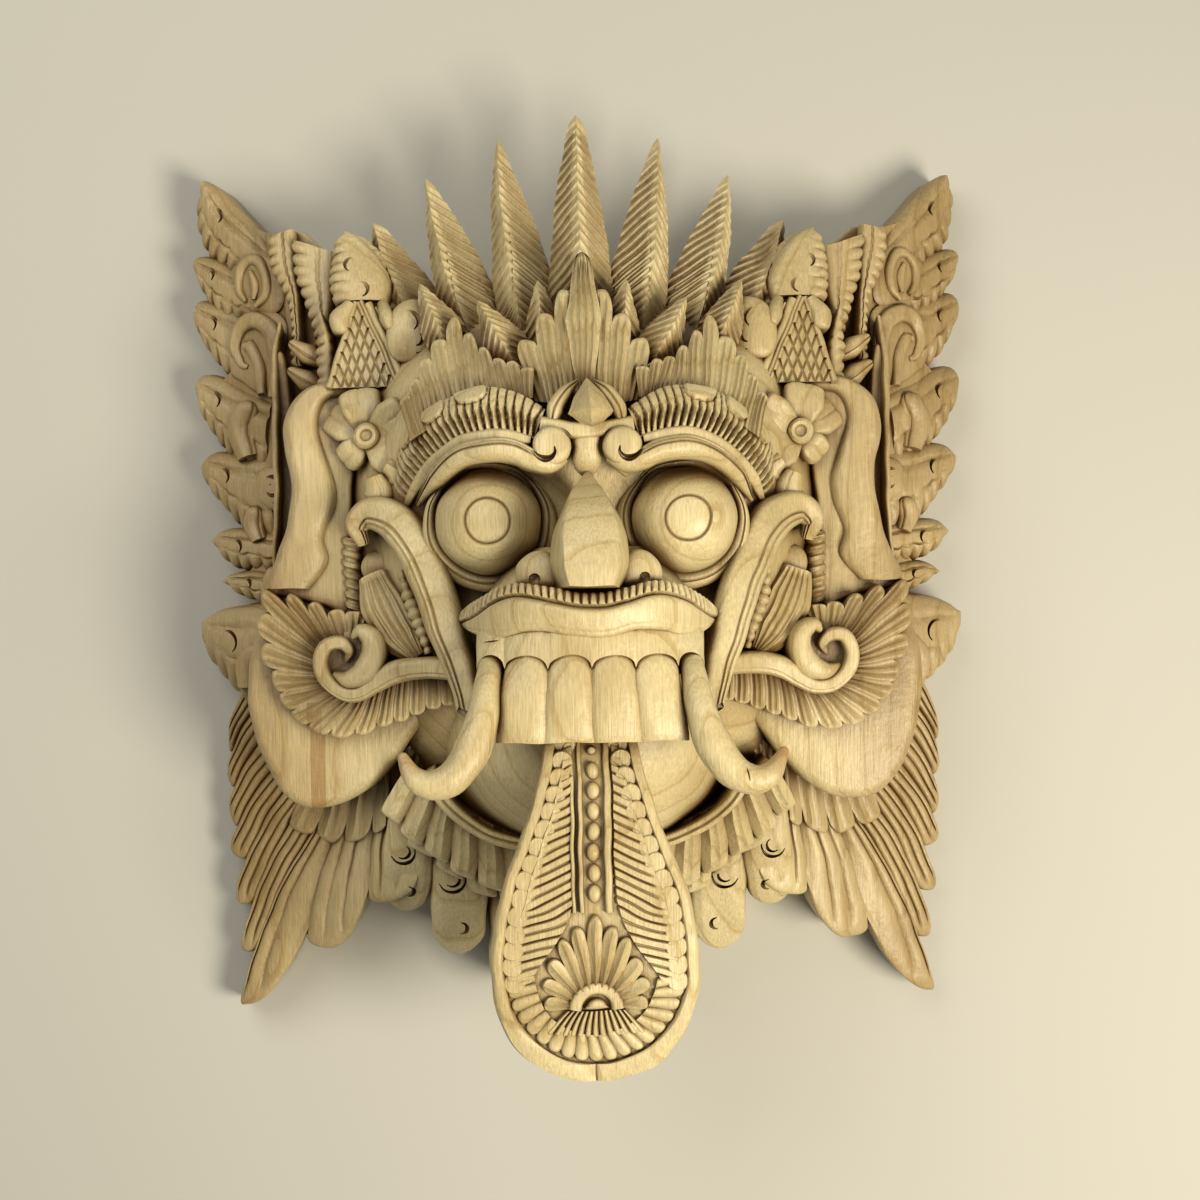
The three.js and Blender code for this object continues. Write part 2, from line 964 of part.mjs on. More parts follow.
// Tail feathers below the wings, swept down and outwards, and round leaves beside the chin
const TAIL_TIPS = [
  [170, -75.5],
  [170.5, -93],
  [169.5, -112],
  [168, -130.5],
  [166, -153.5],
  [163, -176],
  [163.5, -201.5],
  [119, -172],
  [92, -149],
];
const TAIL_FEET = [
  [146, -34],
  [148, -60],
  [142, -84],
  [130, -94],
  [112, -97],
  [92, -84],
  [72, -72],
];
const BOTTOM_LEAVES = [
  { root: [77, -104], tip: [83, -153], half: 12 },
  { root: [56, -112], tip: [61, -174], half: 13 },
  { root: [26, -116], tip: [33, -196], half: 17 },
];

function tail() {
  const feathers = fluted({
    feet: TAIL_FEET,
    tips: TAIL_TIPS,
    rows: [0, 0.4, 0.82],
    rise: 5,
    bow: 0.05,
    depth: (x) => tailDepth(x) - 1,
  });
  const leaves = BOTTOM_LEAVES.map(({ root, tip, half }) =>
    strip({
      line: [
        [...root, 56],
        [...between(root, tip, 0.5), 50],
        [...tip, 38],
      ],
      half: [half * 0.9, half, half * 0.95, half * 0.4],
      crown: [3, 4, 3, 2],
      section: "flat",
      toFloor: true,
      steps: 3,
    }),
  );
  const chinBoard = slab(
    [
      [-70, -90],
      [70, -90],
      [56, -140],
      [26, -168],
      [-26, -168],
      [-56, -140],
    ],
    () => 44,
  );
  return [chinBoard, ...bothSides([feathers, ...leaves])];
}

// Tongue: a long paddle that hangs free of the chin, with a raised rim, two rails, a row of beads,
// side grooves and a flaming half sun
const TONGUE = [
  [-48, 17, 132],
  [-70, 19, 146],
  [-92, 24, 153],
  [-112, 31, 156],
  [-130, 38, 157.5],
  [-150, 42, 157],
  [-170, 42.5, 154.5],
  [-186, 38.5, 151.5],
  [-198, 31, 149],
  [-206, 20, 147.5],
  [TONGUE_END, 7, 146.5],
];
const SUN = [0, -169.5];
const FLAME_ANGLES = [18, 42, 66, 90, 114, 138, 162];
const SKIRT_ANGLES = [202, 225, 247, 270, 293, 315, 338];

const tongueDepth = (y) => atHeight(TONGUE, y)[2];

function tongue() {
  const section = [
    [-0.9, -14],
    [-1, 2],
    [-0.88, 2],
    [-0.84, 0],
    [0.84, 0],
    [0.88, 2],
    [1, 2],
    [0.9, -14],
  ];
  const body = loft(
    TONGUE.map(([y, half, z]) => section.map(([s, r]) => new THREE.Vector3(s * half, y, z + r))),
  );
  const rail = strip({
    line: [-66, -100, -142].map((y) => [6, y, tongueDepth(y)]),
    half: 1.6,
    crown: 2.4,
    root: 5,
    section: "keel",
    steps: 3,
  });
  const beads = [0, 1, 2, 3, 4, 5].map((i) => {
    const y = -90 - 9.3 * i;
    return boss(0, y, tongueDepth(y) + 0.5, 3.1, 3.5, 4);
  });
  const sun = boss(...SUN, 154.5, 11.5, 5, 8);
  const flames = fluted({
    feet: [5, 50, 90, 130, 175].map((degrees) => polar(SUN, degrees, 9)),
    tips: FLAME_ANGLES.map((degrees) => polar(SUN, degrees, 30 - 0.08 * Math.abs(degrees - 90))),
    rise: 2.5,
    depth: (x, y) => tongueDepth(y) + 1.5,
    bottom: 145,
  });
  const skirt = fluted({
    feet: [190, 230, 270, 310, 350].map((degrees) => polar(SUN, degrees, 12)),
    tips: SKIRT_ANGLES.map((degrees) => polar([SUN[0], SUN[1] + 1], degrees, 33)),
    rows: [0, 0.85],
    rise: 2.5,
    depth: (x, y) => tongueDepth(y) + 1.5,
    bottom: 144,
  });
  return [body, rail, rail.mirror([1, 0, 0]), ...beads, sun, flames, skirt];
}

// The whole mask
function mask() {
  const face = [dome(HEAD), dome(MUZZLE, { floor: 90 })];
  const carved = [
    ...face,
    ...crown(),
    ...palmettes(),
    ...brows(),
    ...jewel(),
    ...eyes(),
    ...nose(),
    ...lips(),
    ...teeth(),
    ...tusks(),
    ...cheeks(),
    ...jaw(),
    ...ears(),
    ...curls(),
    ...headdress(),
    ...wings(),
    ...tail(),
    ...tongue(),
  ];
  const hollow = dome(HOLLOW, { columns: 8, floor: -20 });
  const ground = solidOf(new THREE.BoxGeometry(500, 500, 60).translate(0, 0, -30));
  const whole = wasm.Manifold.union(carved).subtract(hollow).subtract(ground);
  return largest(whole.simplify(SMOOTHED));
}

// The outer body alone: pockets shut inside the wood, and crumbs beside it, are left out.
function largest(solid) {
  return solid.decompose().sort((a, b) => b.volume() - a.volume())[0];
}

function meshOf(solid, name, material) {
  const made = solid.getMesh();
  const geometry = new THREE.BufferGeometry();
  geometry.setAttribute("position", new THREE.BufferAttribute(made.vertProperties, 3));
  geometry.setIndex(new THREE.BufferAttribute(made.triVerts, 1));
  geometry.computeVertexNormals();
  const mesh = new THREE.Mesh(geometry, material);
  mesh.name = name;
  return mesh;
}

const paleWood = new THREE.MeshStandardMaterial({ color: 0xcdb583, roughness: 0.62, metalness: 0 });

const root = new THREE.Group();
root.add(meshOf(mask(), "mask", paleWood));
export default root;
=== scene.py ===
# %% [markdown]
# # A carved wooden demon-queen mask
# The real mask is one block of pale, soft, close-grained wood, hollowed from behind and carved in high
# relief: a crown of feather spikes, three fluted palmettes, bulging eyes, a long lip over four broad teeth
# and two tusks, a hanging tongue, smooth ears with round lobes, leafy wings and swept tail feathers.
#
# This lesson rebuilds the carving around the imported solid. A carver works with few kinds of cut, so the
# script has few kinds of shape: a strip that runs along a line, a fan of leaves, a rounded body, a turned
# form, and a gouge cut. Every leaf is made with its grooves in its own mesh, and the leaves are then
# joined into closed bodies.

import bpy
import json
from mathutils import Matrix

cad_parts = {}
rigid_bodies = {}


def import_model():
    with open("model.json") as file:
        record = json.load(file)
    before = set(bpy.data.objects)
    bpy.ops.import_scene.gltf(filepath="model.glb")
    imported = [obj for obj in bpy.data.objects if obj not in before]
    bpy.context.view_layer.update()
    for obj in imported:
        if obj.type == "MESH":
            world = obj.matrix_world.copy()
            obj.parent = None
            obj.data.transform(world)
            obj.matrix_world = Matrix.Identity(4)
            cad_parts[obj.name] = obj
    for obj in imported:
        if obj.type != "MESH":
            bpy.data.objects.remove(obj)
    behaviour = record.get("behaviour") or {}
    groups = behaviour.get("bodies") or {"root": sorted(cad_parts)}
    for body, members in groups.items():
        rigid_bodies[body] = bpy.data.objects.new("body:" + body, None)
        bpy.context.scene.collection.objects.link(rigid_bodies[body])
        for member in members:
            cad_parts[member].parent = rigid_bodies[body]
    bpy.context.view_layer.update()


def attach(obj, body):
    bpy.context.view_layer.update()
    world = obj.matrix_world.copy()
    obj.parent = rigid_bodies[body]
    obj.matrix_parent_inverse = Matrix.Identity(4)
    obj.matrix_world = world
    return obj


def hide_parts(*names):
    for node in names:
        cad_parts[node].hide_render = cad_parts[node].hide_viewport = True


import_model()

import json
import math

import bpy
import numpy as np
from mathutils import Euler, Matrix
from mathutils.geometry import tessellate_polygon

MM = 0.001

# %% [markdown]
# ## Lines and sections
# Every carved strip follows a smooth line through a few points. All sizes below are millimetres, with X to
# the viewer's right, Y up the face and Z out of it, and they are turned to metres only when a mesh is made.
# A section says how high the wood stands between the two edges of a strip, from -1 at one edge to 1 at
# the other.

# %% Small sums
OUT = np.array([0.0, 0.0, 1.0])
UNDER_FLOOR = -6.0
LEAST_WIDTH = 0.25


def mix(a, b, share):
    return a + (b - a) * share


def between(p, q, share):
    return [mix(a, b, share) for a, b in zip(p, q)]


def along(values, share):
    """A value that runs along a piece, given as one number or as evenly spaced ones."""
    values = np.atleast_1d(np.array(values, float))
    return np.interp(share, np.linspace(0, 1, len(values)), values)


def eased(x, start, end):
    """0 before start, 1 after end, and a soft step between them."""
    t = np.clip((x - start) / (end - start), 0, 1)
    return t * t * (3 - 2 * t)


def polar(centre, degrees, radius):
    angle = math.radians(degrees)
    return [centre[0] + radius * math.cos(angle), centre[1] + radius * math.sin(angle)]


def smooth_line(points, samples=24):
    """A smooth line through points, with the distance run and the share of the points passed."""
    p = np.array(points, float)
    p = np.vstack([2 * p[0] - p[1], p, 2 * p[-1] - p[-2]])
    spans = len(points) - 1
    share = np.linspace(0, spans, samples * spans + 1)
    i = np.minimum(share.astype(int), spans - 1)
    f = (share - i)[:, None]
    a, b, c, d = p[i], p[i + 1], p[i + 2], p[i + 3]
    place = b + 0.5 * f * (c - a + f * (2 * a - 5 * b + 4 * c - d + f * (3 * (b - c) + d - a)))
    run = np.concatenate([[0], np.cumsum(np.linalg.norm(np.diff(place, axis=0), axis=1))])
    return place, run, share / spans


# %% Sections and grooves
def keeled(s, keel=0.0):
    """Two flat flanks that meet at a keel."""
    return np.where(s < keel, (s + 1) / (keel + 1), (1 - s) / (1 - keel))


def rounded(s):
    return np.maximum(1 - np.abs(s) ** 2.4, 0) ** 0.6


def full(s):
    return np.sqrt(np.maximum(1 - s * s, 0))


def soft_edged(s):
    """Almost flat, with its two edges rounded over."""
    return np.maximum(1 - np.abs(s) ** 5, 0) ** 0.7


def cupped(s):
    """A broad petal, slightly hollow between soft edges."""
    return soft_edged(s) * (0.72 + 0.4 * s * s + 0.12 * s)


def flutes(x):
    """Gouge cuts side by side, one for each whole number: round valleys between sharp ridges."""
    return np.abs(np.sin(np.pi * x))


def reeds(x):
    """Round ribs side by side, one for each whole number, with a narrow valley between them."""
    return 1 - np.abs(np.sin(np.pi * x)) ** 0.55


def knife_cut(distance, width):
    """A V groove along the line where distance is 0."""
    return np.maximum(0, 1 - np.abs(distance) / width)


# %% [markdown]
# ## Closed bodies
# A body is an array of points and an array of triangles. Each one is closed, so that the bodies can be
# joined and cut later as a carver's block would be. The strip is the main tool. Its rows of points can be
# swept back from its keel like the barbs of a feather, so that a herringbone groove follows the rows and
# stays crisp with few faces.


# %% Bodies from rings
def body(points, triangles):
    """A closed body, turned so that its faces point outwards."""
    corner = points[triangles]
    volume = np.einsum("ij,ij->i", corner[:, 0], np.cross(corner[:, 1], corner[:, 2])).sum()
    return points, (triangles if volume > 0 else triangles[:, ::-1])


def loft(rings):
    """A closed body through rings of points, with a fan of faces over each end."""
    rings = np.asarray(rings, float)
    count, around = rings.shape[:2]
    points = np.vstack([rings.reshape(-1, 3), rings[0].mean(0), rings[-1].mean(0)])
    grid = np.arange(count * around).reshape(count, around)
    a, b = grid[:-1], grid[1:]
    c, d = np.roll(b, -1, 1), np.roll(a, -1, 1)
    walls = np.concatenate([np.stack([a, d, c], -1), np.stack([a, c, b], -1)]).reshape(-1, 3)
    first, last = grid[0], grid[-1]
    caps = [
        np.stack([np.full(around, count * around), np.roll(first, -1), first], -1),
        np.stack([np.full(around, count * around + 1), last, np.roll(last, -1)], -1),
    ]
    return body(points, np.vstack([walls, *caps]))


def mirrored(bodies):
    return [(points * [-1, 1, 1], triangles[:, ::-1]) for points, triangles in bodies]


def both_sides(bodies):
    return list(bodies) + mirrored(bodies)


# %% The carved strip
def across_places(count, keel):
    """Places across a strip, with one on its keel."""
    low = max(2, round(count * (1 + keel) / 2))
    high = max(2, count - low)
    return np.concatenate([np.linspace(-1, keel, low + 1), np.linspace(keel, 1, high + 1)[1:]])


def ring_places(length, step, blunt):
    """Distances of the rings along a strip, and how much each one narrows towards a rounded end."""
    run = np.arange(0, length - blunt + 0.01, step)
    if not blunt:
        run = np.linspace(0, length, max(2, round(length / step)) + 1)
        return run, np.ones(len(run))
    turn = np.linspace(0, math.pi / 2, 7)[1:]
    run = np.append(run[:-1], length - blunt)
    narrow = np.concatenate([np.ones(len(run)), np.maximum(np.cos(turn), 0.03)])
    return np.append(run, length - blunt + blunt * np.sin(turn)), narrow


def strip(line, half, crown, section=rounded, carve=None, step=1.6, across=12, root=10.0, floor=None,
          flare=1.0, keel=0.0, sweep=0.0, slant=0.0, blunt=0.0, teeth=None):
    """A closed strip of wood along a line.

    half is its half width, or a pair of them for its two sides, and crown the height of its middle. Its
    sides run down by root, or to floor. sweep draws its rows back from the keel, and slant turns them.
    teeth are the pitch of the teeth along both edges and the share of the width they bite off.
    """
    place, run, share = smooth_line(line)
    tangent = np.gradient(place, run, axis=0)
    tangent /= np.linalg.norm(tangent, axis=1)[:, None]
    side = np.cross(tangent, OUT)
    side /= np.linalg.norm(side, axis=1)[:, None]
    rise = np.cross(side, tangent)
    beyond = 60.0
    long_run = np.concatenate([[-beyond], run, [run[-1] + beyond]])
    place = np.vstack([place[0] - beyond * tangent[0], place, place[-1] + beyond * tangent[-1]])
    side, rise = (np.vstack([v[0], v, v[-1]]) for v in (side, rise))

    d, narrow = ring_places(run[-1], step, blunt)
    t = np.interp(d, run, share)[:, None]
    s = across_places(across, keel)[None, :]
    left, right = half if isinstance(half, tuple) else (half, half)
    width = np.where(s < keel, along(left, t), along(right, t)) * narrow[:, None]
    if teeth:
        pitch, bite = teeth
        width = width * (1 - bite * (1 - flutes(d / pitch)[:, None] ** 0.5))
    width = np.maximum(width, LEAST_WIDTH)
    at = d[:, None] - sweep * np.abs(s - keel) * width + slant * s * width

    def read(table, where):
        return np.stack([np.interp(where, long_run, table[:, k]) for k in range(3)], -1)

    height = along(crown, t) * narrow[:, None] ** 0.6 * section(s)
    if carve:
        height = height - carve(s, d[:, None], t, width)
    top = read(place, at) + read(side, at) * (s * width)[..., None] + read(rise, at) * height[..., None]
    feet = []
    for edge in (-1, 0):
        where = at[:, edge]
        foot = read(place, where) + read(side, where) * (s[0, edge] * width[:, edge] * flare)[:, None]
        foot = foot - read(rise, where) * along(root, t[:, 0])[:, None]
        if floor is not None:
            foot[:, 2] = floor
        feet.append(foot[:, None])
    return loft(np.concatenate([top, *feet], axis=1))


# %% Bands between two edges
def band(left, right, crown, section=rounded, carve=None, step=1.6, across=12, root=8.0, floor=None,
         teeth=None):
    """A closed strip of wood between two edge lines that have matching points.

    teeth are the pitch of the teeth along the right edge and how deep they are cut.
    """
    left, _, share = smooth_line(left)
    right, _, _ = smooth_line(right)
    middle = (left + right) / 2
    run = np.concatenate([[0], np.cumsum(np.linalg.norm(np.diff(middle, axis=0), axis=1))])
    d = np.linspace(0, run[-1], max(2, round(run[-1] / step)) + 1)
    t = np.interp(d, run, share)[:, None]
    left, right, middle = (np.stack([np.interp(d, run, edge[:, k]) for k in range(3)], -1)
                           for edge in (left, right, middle))
    if teeth:
        pitch, bite = teeth
        width = np.linalg.norm(right - left, axis=1)
        pull = np.minimum(bite * (1 - flutes(d / pitch) ** 0.7) / np.maximum(width, 1e-6), 0.3)
        right = right + (left - right) * pull[:, None]
    s = np.linspace(-1, 1, across + 1)[None, :]
    rise = np.cross(right - left, np.gradient(middle, axis=0))
    rise *= np.sign(rise[:, 2:] + 1e-9) / np.maximum(np.linalg.norm(rise, axis=1), 1e-9)[:, None]
    height = along(crown, t) * section(s)
    if carve:
        height = height - carve(s, d[:, None], t)
    top = mix(left[:, None], right[:, None], ((s + 1) / 2)[..., None]) + rise[:, None] * height[..., None]
    feet = np.stack([right, left], axis=1) - rise[:, None] * root
    if floor is not None:
        feet[:, :, 2] = floor
    return loft(np.concatenate([top, feet], axis=1))


# %% Fans
def fan(feet, tips, depth, rise=3.5, cuts=3, cut=flutes, groove=0.8, floor=0.6, bow=0.0, notch=0.12,
        blunt=3.0, rows=16, gap=0.55):
    """Leaves side by side from a line of feet to their own tips, as one fluted sheet.

    notch is how deep the sheet is cut between two tips, as a share of the shorter leaf, and gap how far
    each leaf's surface falls towards its neighbours.
    """
    feet, tips = np.array(feet, float), np.array(tips, float)
    n, per = len(tips), 6 * cuts
    between_tips = (tips[1:] + tips[:-1]) / 2
    bounds = np.vstack([2 * tips[0] - between_tips[0], between_tips, 2 * tips[-1] - between_tips[-1]])
    u = np.linspace(0, n, n * per + 1)
    leaf = np.minimum(u.astype(int), n - 1)
    v = u - leaf
    foot_run = np.linspace(0, n, len(feet))
    foot = np.stack([np.interp(u, foot_run, feet[:, k]) for k in (0, 1)], -1)
    low, high = v[:, None] * 2, v[:, None] * 2 - 1
    goal = np.where(low < 1, mix(bounds[leaf], tips[leaf], low), mix(tips[leaf], bounds[leaf + 1], high))
    centre_foot = np.stack([np.interp(np.arange(n) + 0.5, foot_run, feet[:, k]) for k in (0, 1)], -1)
    length = np.linalg.norm(tips - centre_foot, axis=1)
    shorter = np.concatenate([[length[0]], np.minimum(length[1:], length[:-1]), [length[-1]]]) * (1 - notch)
    side = np.abs(2 * v - 1)
    ends = np.where(v < 0.5, shorter[leaf], shorter[leaf + 1])
    ends = np.minimum(ends, length[leaf])
    reach = mix(ends, length[leaf], np.maximum(1 - side ** blunt, 0) ** (1 / blunt))
    way = goal - foot
    far = foot + way / np.linalg.norm(way, axis=1)[:, None] * reach[:, None]
    share = 1 - (1 - np.linspace(0, 1, rows)) ** 1.6
    across = np.stack([-(far - foot)[:, 1], (far - foot)[:, 0]], -1)
    flat = mix(foot[:, None], far[:, None], share[None, :, None])
    flat = flat + bow * np.sin(math.pi * share)[None, :, None] * across[:, None]
    x, y = flat[..., 0], flat[..., 1]
    edge = np.sqrt(np.maximum(1 - np.clip((share - 0.86) / 0.14, 0, 1) ** 2, 0))[None, :]
    pillow = 1 - gap * side[:, None] ** 2.5
    flute = groove * cut(v * cuts)[:, None] * eased(1 - share, 0, 0.12)[None, :]
    z = np.vectorize(depth)(x, y) + rise * (mix(0.35, 1, edge) * pillow - 0.65) - flute
    top = np.stack([x, y, z], -1)
    low = np.concatenate([top[:, -1:], top[:, :1]], axis=1) * [1, 1, 0] + [0, 0, floor]
    return [loft(np.concatenate([top, low], axis=1))]


# %% Rounded bodies, turned forms and boards
def dome(table, rows=48, columns=56, width_power=3.2, depth_power=2.2, floor=UNDER_FLOOR):
    """A rounded body with a flat back, from its half width and depth at several heights."""
    place, _, share = smooth_line(table)
    at = np.linspace(0, 1, rows)
    y, width, deep = (np.interp(at, share, place[:, k])[:, None] for k in range(3))
    angle = np.linspace(math.pi, 0, columns + 1)[None, :]
    x = width * np.sign(np.cos(angle)) * np.abs(np.cos(angle)) ** (2 / width_power)
    z = deep * np.maximum(np.sin(angle), 0) ** (2 / depth_power)
    top = np.stack([x, np.broadcast_to(y, x.shape), z], -1)
    low = top[:, [-1, 0]] * [1, 1, 0] + [0, 0, floor]
    return loft(np.concatenate([top, low], axis=1))


def turned(profile, x, y, z, segments=32):
    """A form turned about an axis that points out of the face, from its radii and heights."""
    angle = np.linspace(0, 2 * math.pi, segments, endpoint=False)
    rings = [np.stack([x + r * np.cos(angle), y + r * np.sin(angle), np.full(segments, z + h)], -1)
             for r, h in profile]
    return loft(rings)


def button(outline, depth, rise, floor=0.6, samples=5):
    """A low pillow of wood over a closed outline: nearly flat on top, rounded over at its edge."""
    flat = closed_line(outline, samples)
    centre = flat.mean(0)
    rings = [np.column_stack([flat, np.full(len(flat), floor)])]
    for angle in np.linspace(0, math.pi / 2, 10)[:-1]:
        ring = mix(centre, flat, math.cos(angle) ** 0.8)
        z = np.array([depth(x, y) for x, y in ring]) + rise * math.sin(angle) ** 0.8
        rings.append(np.column_stack([ring, z]))
    return loft(rings)


def scroll(centre, z, radii, start, turn, **rest):
    """A strip that curls inwards. radii are read at even steps of its turn."""
    steps = max(8, round(abs(turn) / 20))
    line = []
    for i in range(steps + 1):
        share = i / steps
        line.append([*polar(centre, start + turn * share, float(along(radii, share))), z])
    return strip(line, **rest)


def closed_line(points, samples=5):
    """A smooth closed line through points in the plane of the face."""
    points = np.array(points, float)
    wrapped = np.vstack([points[-2:], points, points[:3]])
    place, _, _ = smooth_line(wrapped, samples)
    return place[2 * samples:-2 * samples][:len(points) * samples]


def pad(outline, depth, bevel=2.4, bottom=UNDER_FLOOR, samples=5):
    """A board whose front edge is rounded over, with a top that follows a depth function."""
    flat = closed_line(outline, samples) if samples else np.array(outline, float)
    area = (flat[:, 0] * np.roll(flat[:, 1], -1) - np.roll(flat[:, 0], -1) * flat[:, 1]).sum()
    flat = flat if area > 0 else flat[::-1]
    ahead = np.roll(flat, -1, 0) - np.roll(flat, 1, 0)
    inward = np.stack([-ahead[:, 1], ahead[:, 0]], -1) / np.linalg.norm(ahead, axis=1)[:, None]
    n = len(flat)
    rings = [np.column_stack([flat, np.full(n, bottom)])]
    for angle in np.linspace(0, math.pi / 2, 5) if bevel else (0,):
        ring = flat + inward * bevel * (1 - math.cos(angle))
        z = np.array([depth(x, y) for x, y in ring]) - bevel * (1 - math.sin(angle))
        rings.append(np.column_stack([ring, z]))
    faces = np.array(tessellate_polygon([[(x, y, 0) for x, y in flat]]))
    a, b, c = (flat[faces[:, k]] for k in range(3))
    crossed = (b[:, 0] - a[:, 0]) * (c[:, 1] - a[:, 1]) - (b[:, 1] - a[:, 1]) * (c[:, 0] - a[:, 0])
    faces = np.where((crossed > 0)[:, None], faces, faces[:, ::-1])
    k = np.arange(n)
    after = (k + 1) % n
    walls = [np.vstack([np.stack([k, after, n + after], -1), np.stack([k, n + after, n + k], -1)]) + n * row
             for row in range(len(rings) - 1)]
    return body(np.vstack(rings), np.vstack([faces[:, ::-1], faces + n * (len(rings) - 1), *walls]))


def slab(outline, depth, bottom=UNDER_FLOOR):
    """A board with a sharp edge."""
    return pad(outline, depth, bevel=0, bottom=bottom, samples=0)


def gouge(line, width, depth):
    """A cutter for one curved gouge cut, sharp at both ends, deepest in its middle."""
    return strip(
        line, half=[0.3, width, 0.3], crown=6, section=soft_edged, root=[0.2, depth, 0.2], flare=0.2,
        across=4, step=1.0,
    )


def crescent(centre, z, radius, start, turn, width=1.5, depth=2.0):
    """A crescent-shaped gouge cut, as an arc about a centre."""
    line = [[*polar(centre, start + turn * k / 6, radius), z] for k in range(7)]
    return gouge(line, width, depth)


# %% [markdown]
# ## From bodies to one skin
# The bodies of a piece overlap, as the leaves of a relief do. Blender's Manifold solver joins them into one
# closed skin with a sharp line wherever two forms meet, and then takes the gouge cuts out of it. A slight
# waver, far smaller than a leaf, keeps the lines from looking machined.


# %% Join, cut and shade
def wavered(points):
    """Moves points by a slow waver of a third of a millimetre, as lines cut by hand have."""
    x, y, z = points.T
    push = np.stack([
        np.sin(y / 6.1 + z / 9.0) + np.sin(y / 2.9 + x / 11.0),
        np.sin(x / 5.3 + z / 8.0) + np.sin(x / 3.1 + y / 9.0),
        np.sin(x / 4.7 + y / 5.9),
    ], -1)
    return points + 0.17 * push * np.clip((points[:, 2:] - 2) / 10, 0, 1)


def object_from(name, points, triangles):
    mesh = bpy.data.meshes.new(name)
    mesh.vertices.add(len(points))
    mesh.vertices.foreach_set("co", (points * MM).astype(np.float32).ravel())
    mesh.loops.add(triangles.size)
    mesh.loops.foreach_set("vertex_index", triangles.astype(np.int32).ravel())
    mesh.polygons.add(len(triangles))
    mesh.polygons.foreach_set("loop_start", np.arange(0, triangles.size, 3, dtype=np.int32))
    mesh.update(calc_edges=True)
    return bpy.data.objects.new(name, mesh)


def boolean(target, bodies, operation):
    """Joins bodies to the target, or cuts them out of it."""
    tools = bpy.data.collections.new("tools")
    for points, triangles in bodies:
        tools.objects.link(object_from("tool", points, triangles))
    modifier = target.modifiers.new("carve", "BOOLEAN")
    modifier.operation = operation
    modifier.operand_type = "COLLECTION"
    modifier.collection = tools
    modifier.solver = "MANIFOLD"
    bpy.context.view_layer.update()
    result = bpy.data.meshes.new_from_object(target.evaluated_get(bpy.context.evaluated_depsgraph_get()))
    target.modifiers.remove(modifier)
    spent = target.data
    target.data = result
    bpy.data.meshes.remove(spent)
    for tool in list(tools.objects):
        mesh = tool.data
        bpy.data.objects.remove(tool)
        bpy.data.meshes.remove(mesh)
    bpy.data.collections.remove(tools)


def carved(name, bodies, cuts=()):
    """One piece of the carving: its bodies joined, its cuts taken out, its sharp lines kept."""
    bodies = [(wavered(points), triangles) for points, triangles in bodies]
    piece = object_from(name, *bodies[0])
    bpy.context.scene.collection.objects.link(piece)
    boolean(piece, bodies[1:], "UNION")
    if len(cuts):
        boolean(piece, cuts, "DIFFERENCE")
    mesh = piece.data
    mesh.shade_smooth()
    mesh.set_sharp_from_angle(angle=math.radians(38))
    mesh.calc_loop_triangles()
    print(f"{name}: {len(bodies)} bodies, {len(cuts)} cuts, {len(mesh.loop_triangles)} triangles")
    return piece


# %% [markdown]
# ## The block
# The block is everything smooth: the skull, the muzzle, the bowl of the chin, the ears with their round
# lobes, and the boards that the leaves are carved on. Its back is sawn flat, and the hollow for the face is
# scooped out of it. The tables give the half width and the depth of each form at several heights.

# %% The block's forms
HEAD = [[136, 84, 56], [118, 95, 84], [92, 106, 112], [56, 115, 126], [10, 118, 116], [-40, 111, 109],
        [-92, 85, 82], [-114, 60, 60]]
MUZZLE = [[10, 38, 142], [-2, 50, 159], [-16, 54, 169], [-38, 53, 170], [-54, 50, 166]]
JAW = [[-46, 66, 126], [-66, 72, 132], [-88, 71, 127], [-104, 63, 115], [-116, 47, 100], [-121, 30, 90]]
HOLLOW = [[104, 40, 50], [94, 62, 74], [66, 78, 96], [10, 82, 97], [-40, 76, 89], [-76, 58, 68],
          [-94, 36, 40]]


def wing_depth(x):
    return 58 - 0.55 * (abs(x) - 110)


def tail_depth(x):
    return 54 - 0.46 * (abs(x) - 86)


# %% Ears and lobes
EAR_OUTER = [[94, 86.6], [105.9, 87], [119.5, 85], [129.1, 78], [132.8, 68.3], [132.5, 57], [130.1, 46.9],
             [129.8, 37.2], [132.2, 22.1], [136, 10.4], [141.6, -4.6]]
EAR_INNER = [[94, 81.6], [104, 80], [112, 78.5], [116, 73.6], [117, 66], [113.6, 53], [110, 41], [110.6, 30],
             [115.8, 17.5], [113.6, 7], [122.4, -5]]
LOBE = [[128, -6], [141, -12], [149, -30], [151.5, -48], [149.5, -66], [144, -83], [134, -98.5],
        [120, -103], [106, -99.5], [92, -90], [80, -74], [72, -58], [84, -30]]


def ears():
    """A flat plate, a smooth bar with a wavy inner edge on it, and a round lobe below."""
    outer, inner = ([[x, y, 82 + 0.03 * (40 - y)] for x, y in edge] for edge in (EAR_OUTER, EAR_INNER))
    bar = band(inner, outer, crown=[3, 5, 5.5, 5.5, 5.5, 5.5, 5.5, 5.5, 5, 4, 3.4],
               section=lambda s: soft_edged(s) * np.minimum(1, 1.12 - 0.3 * np.abs(s - 0.1)), root=10,
               across=18, step=2.0)
    plate = pad([*EAR_OUTER, [127, -9.4], [116, -12.4], [105.4, -15.8], [104.5, 10], [103, 40], [98, 70]],
                lambda x, y: 82, bevel=1.6, samples=4)
    rim = pad([[134, 98], [139.5, 98], [139, 70], [137, 40], [139, 10], [144, -14], [134, -14], [131, 40]],
              lambda x, y: 60, bevel=1.5)
    lobe = pad(LOBE, lambda x, y: 79.6 - 0.0006 * ((x - 112) ** 2 + (y + 60) ** 2), bevel=5)
    return both_sides([bar, plate, rim, lobe])


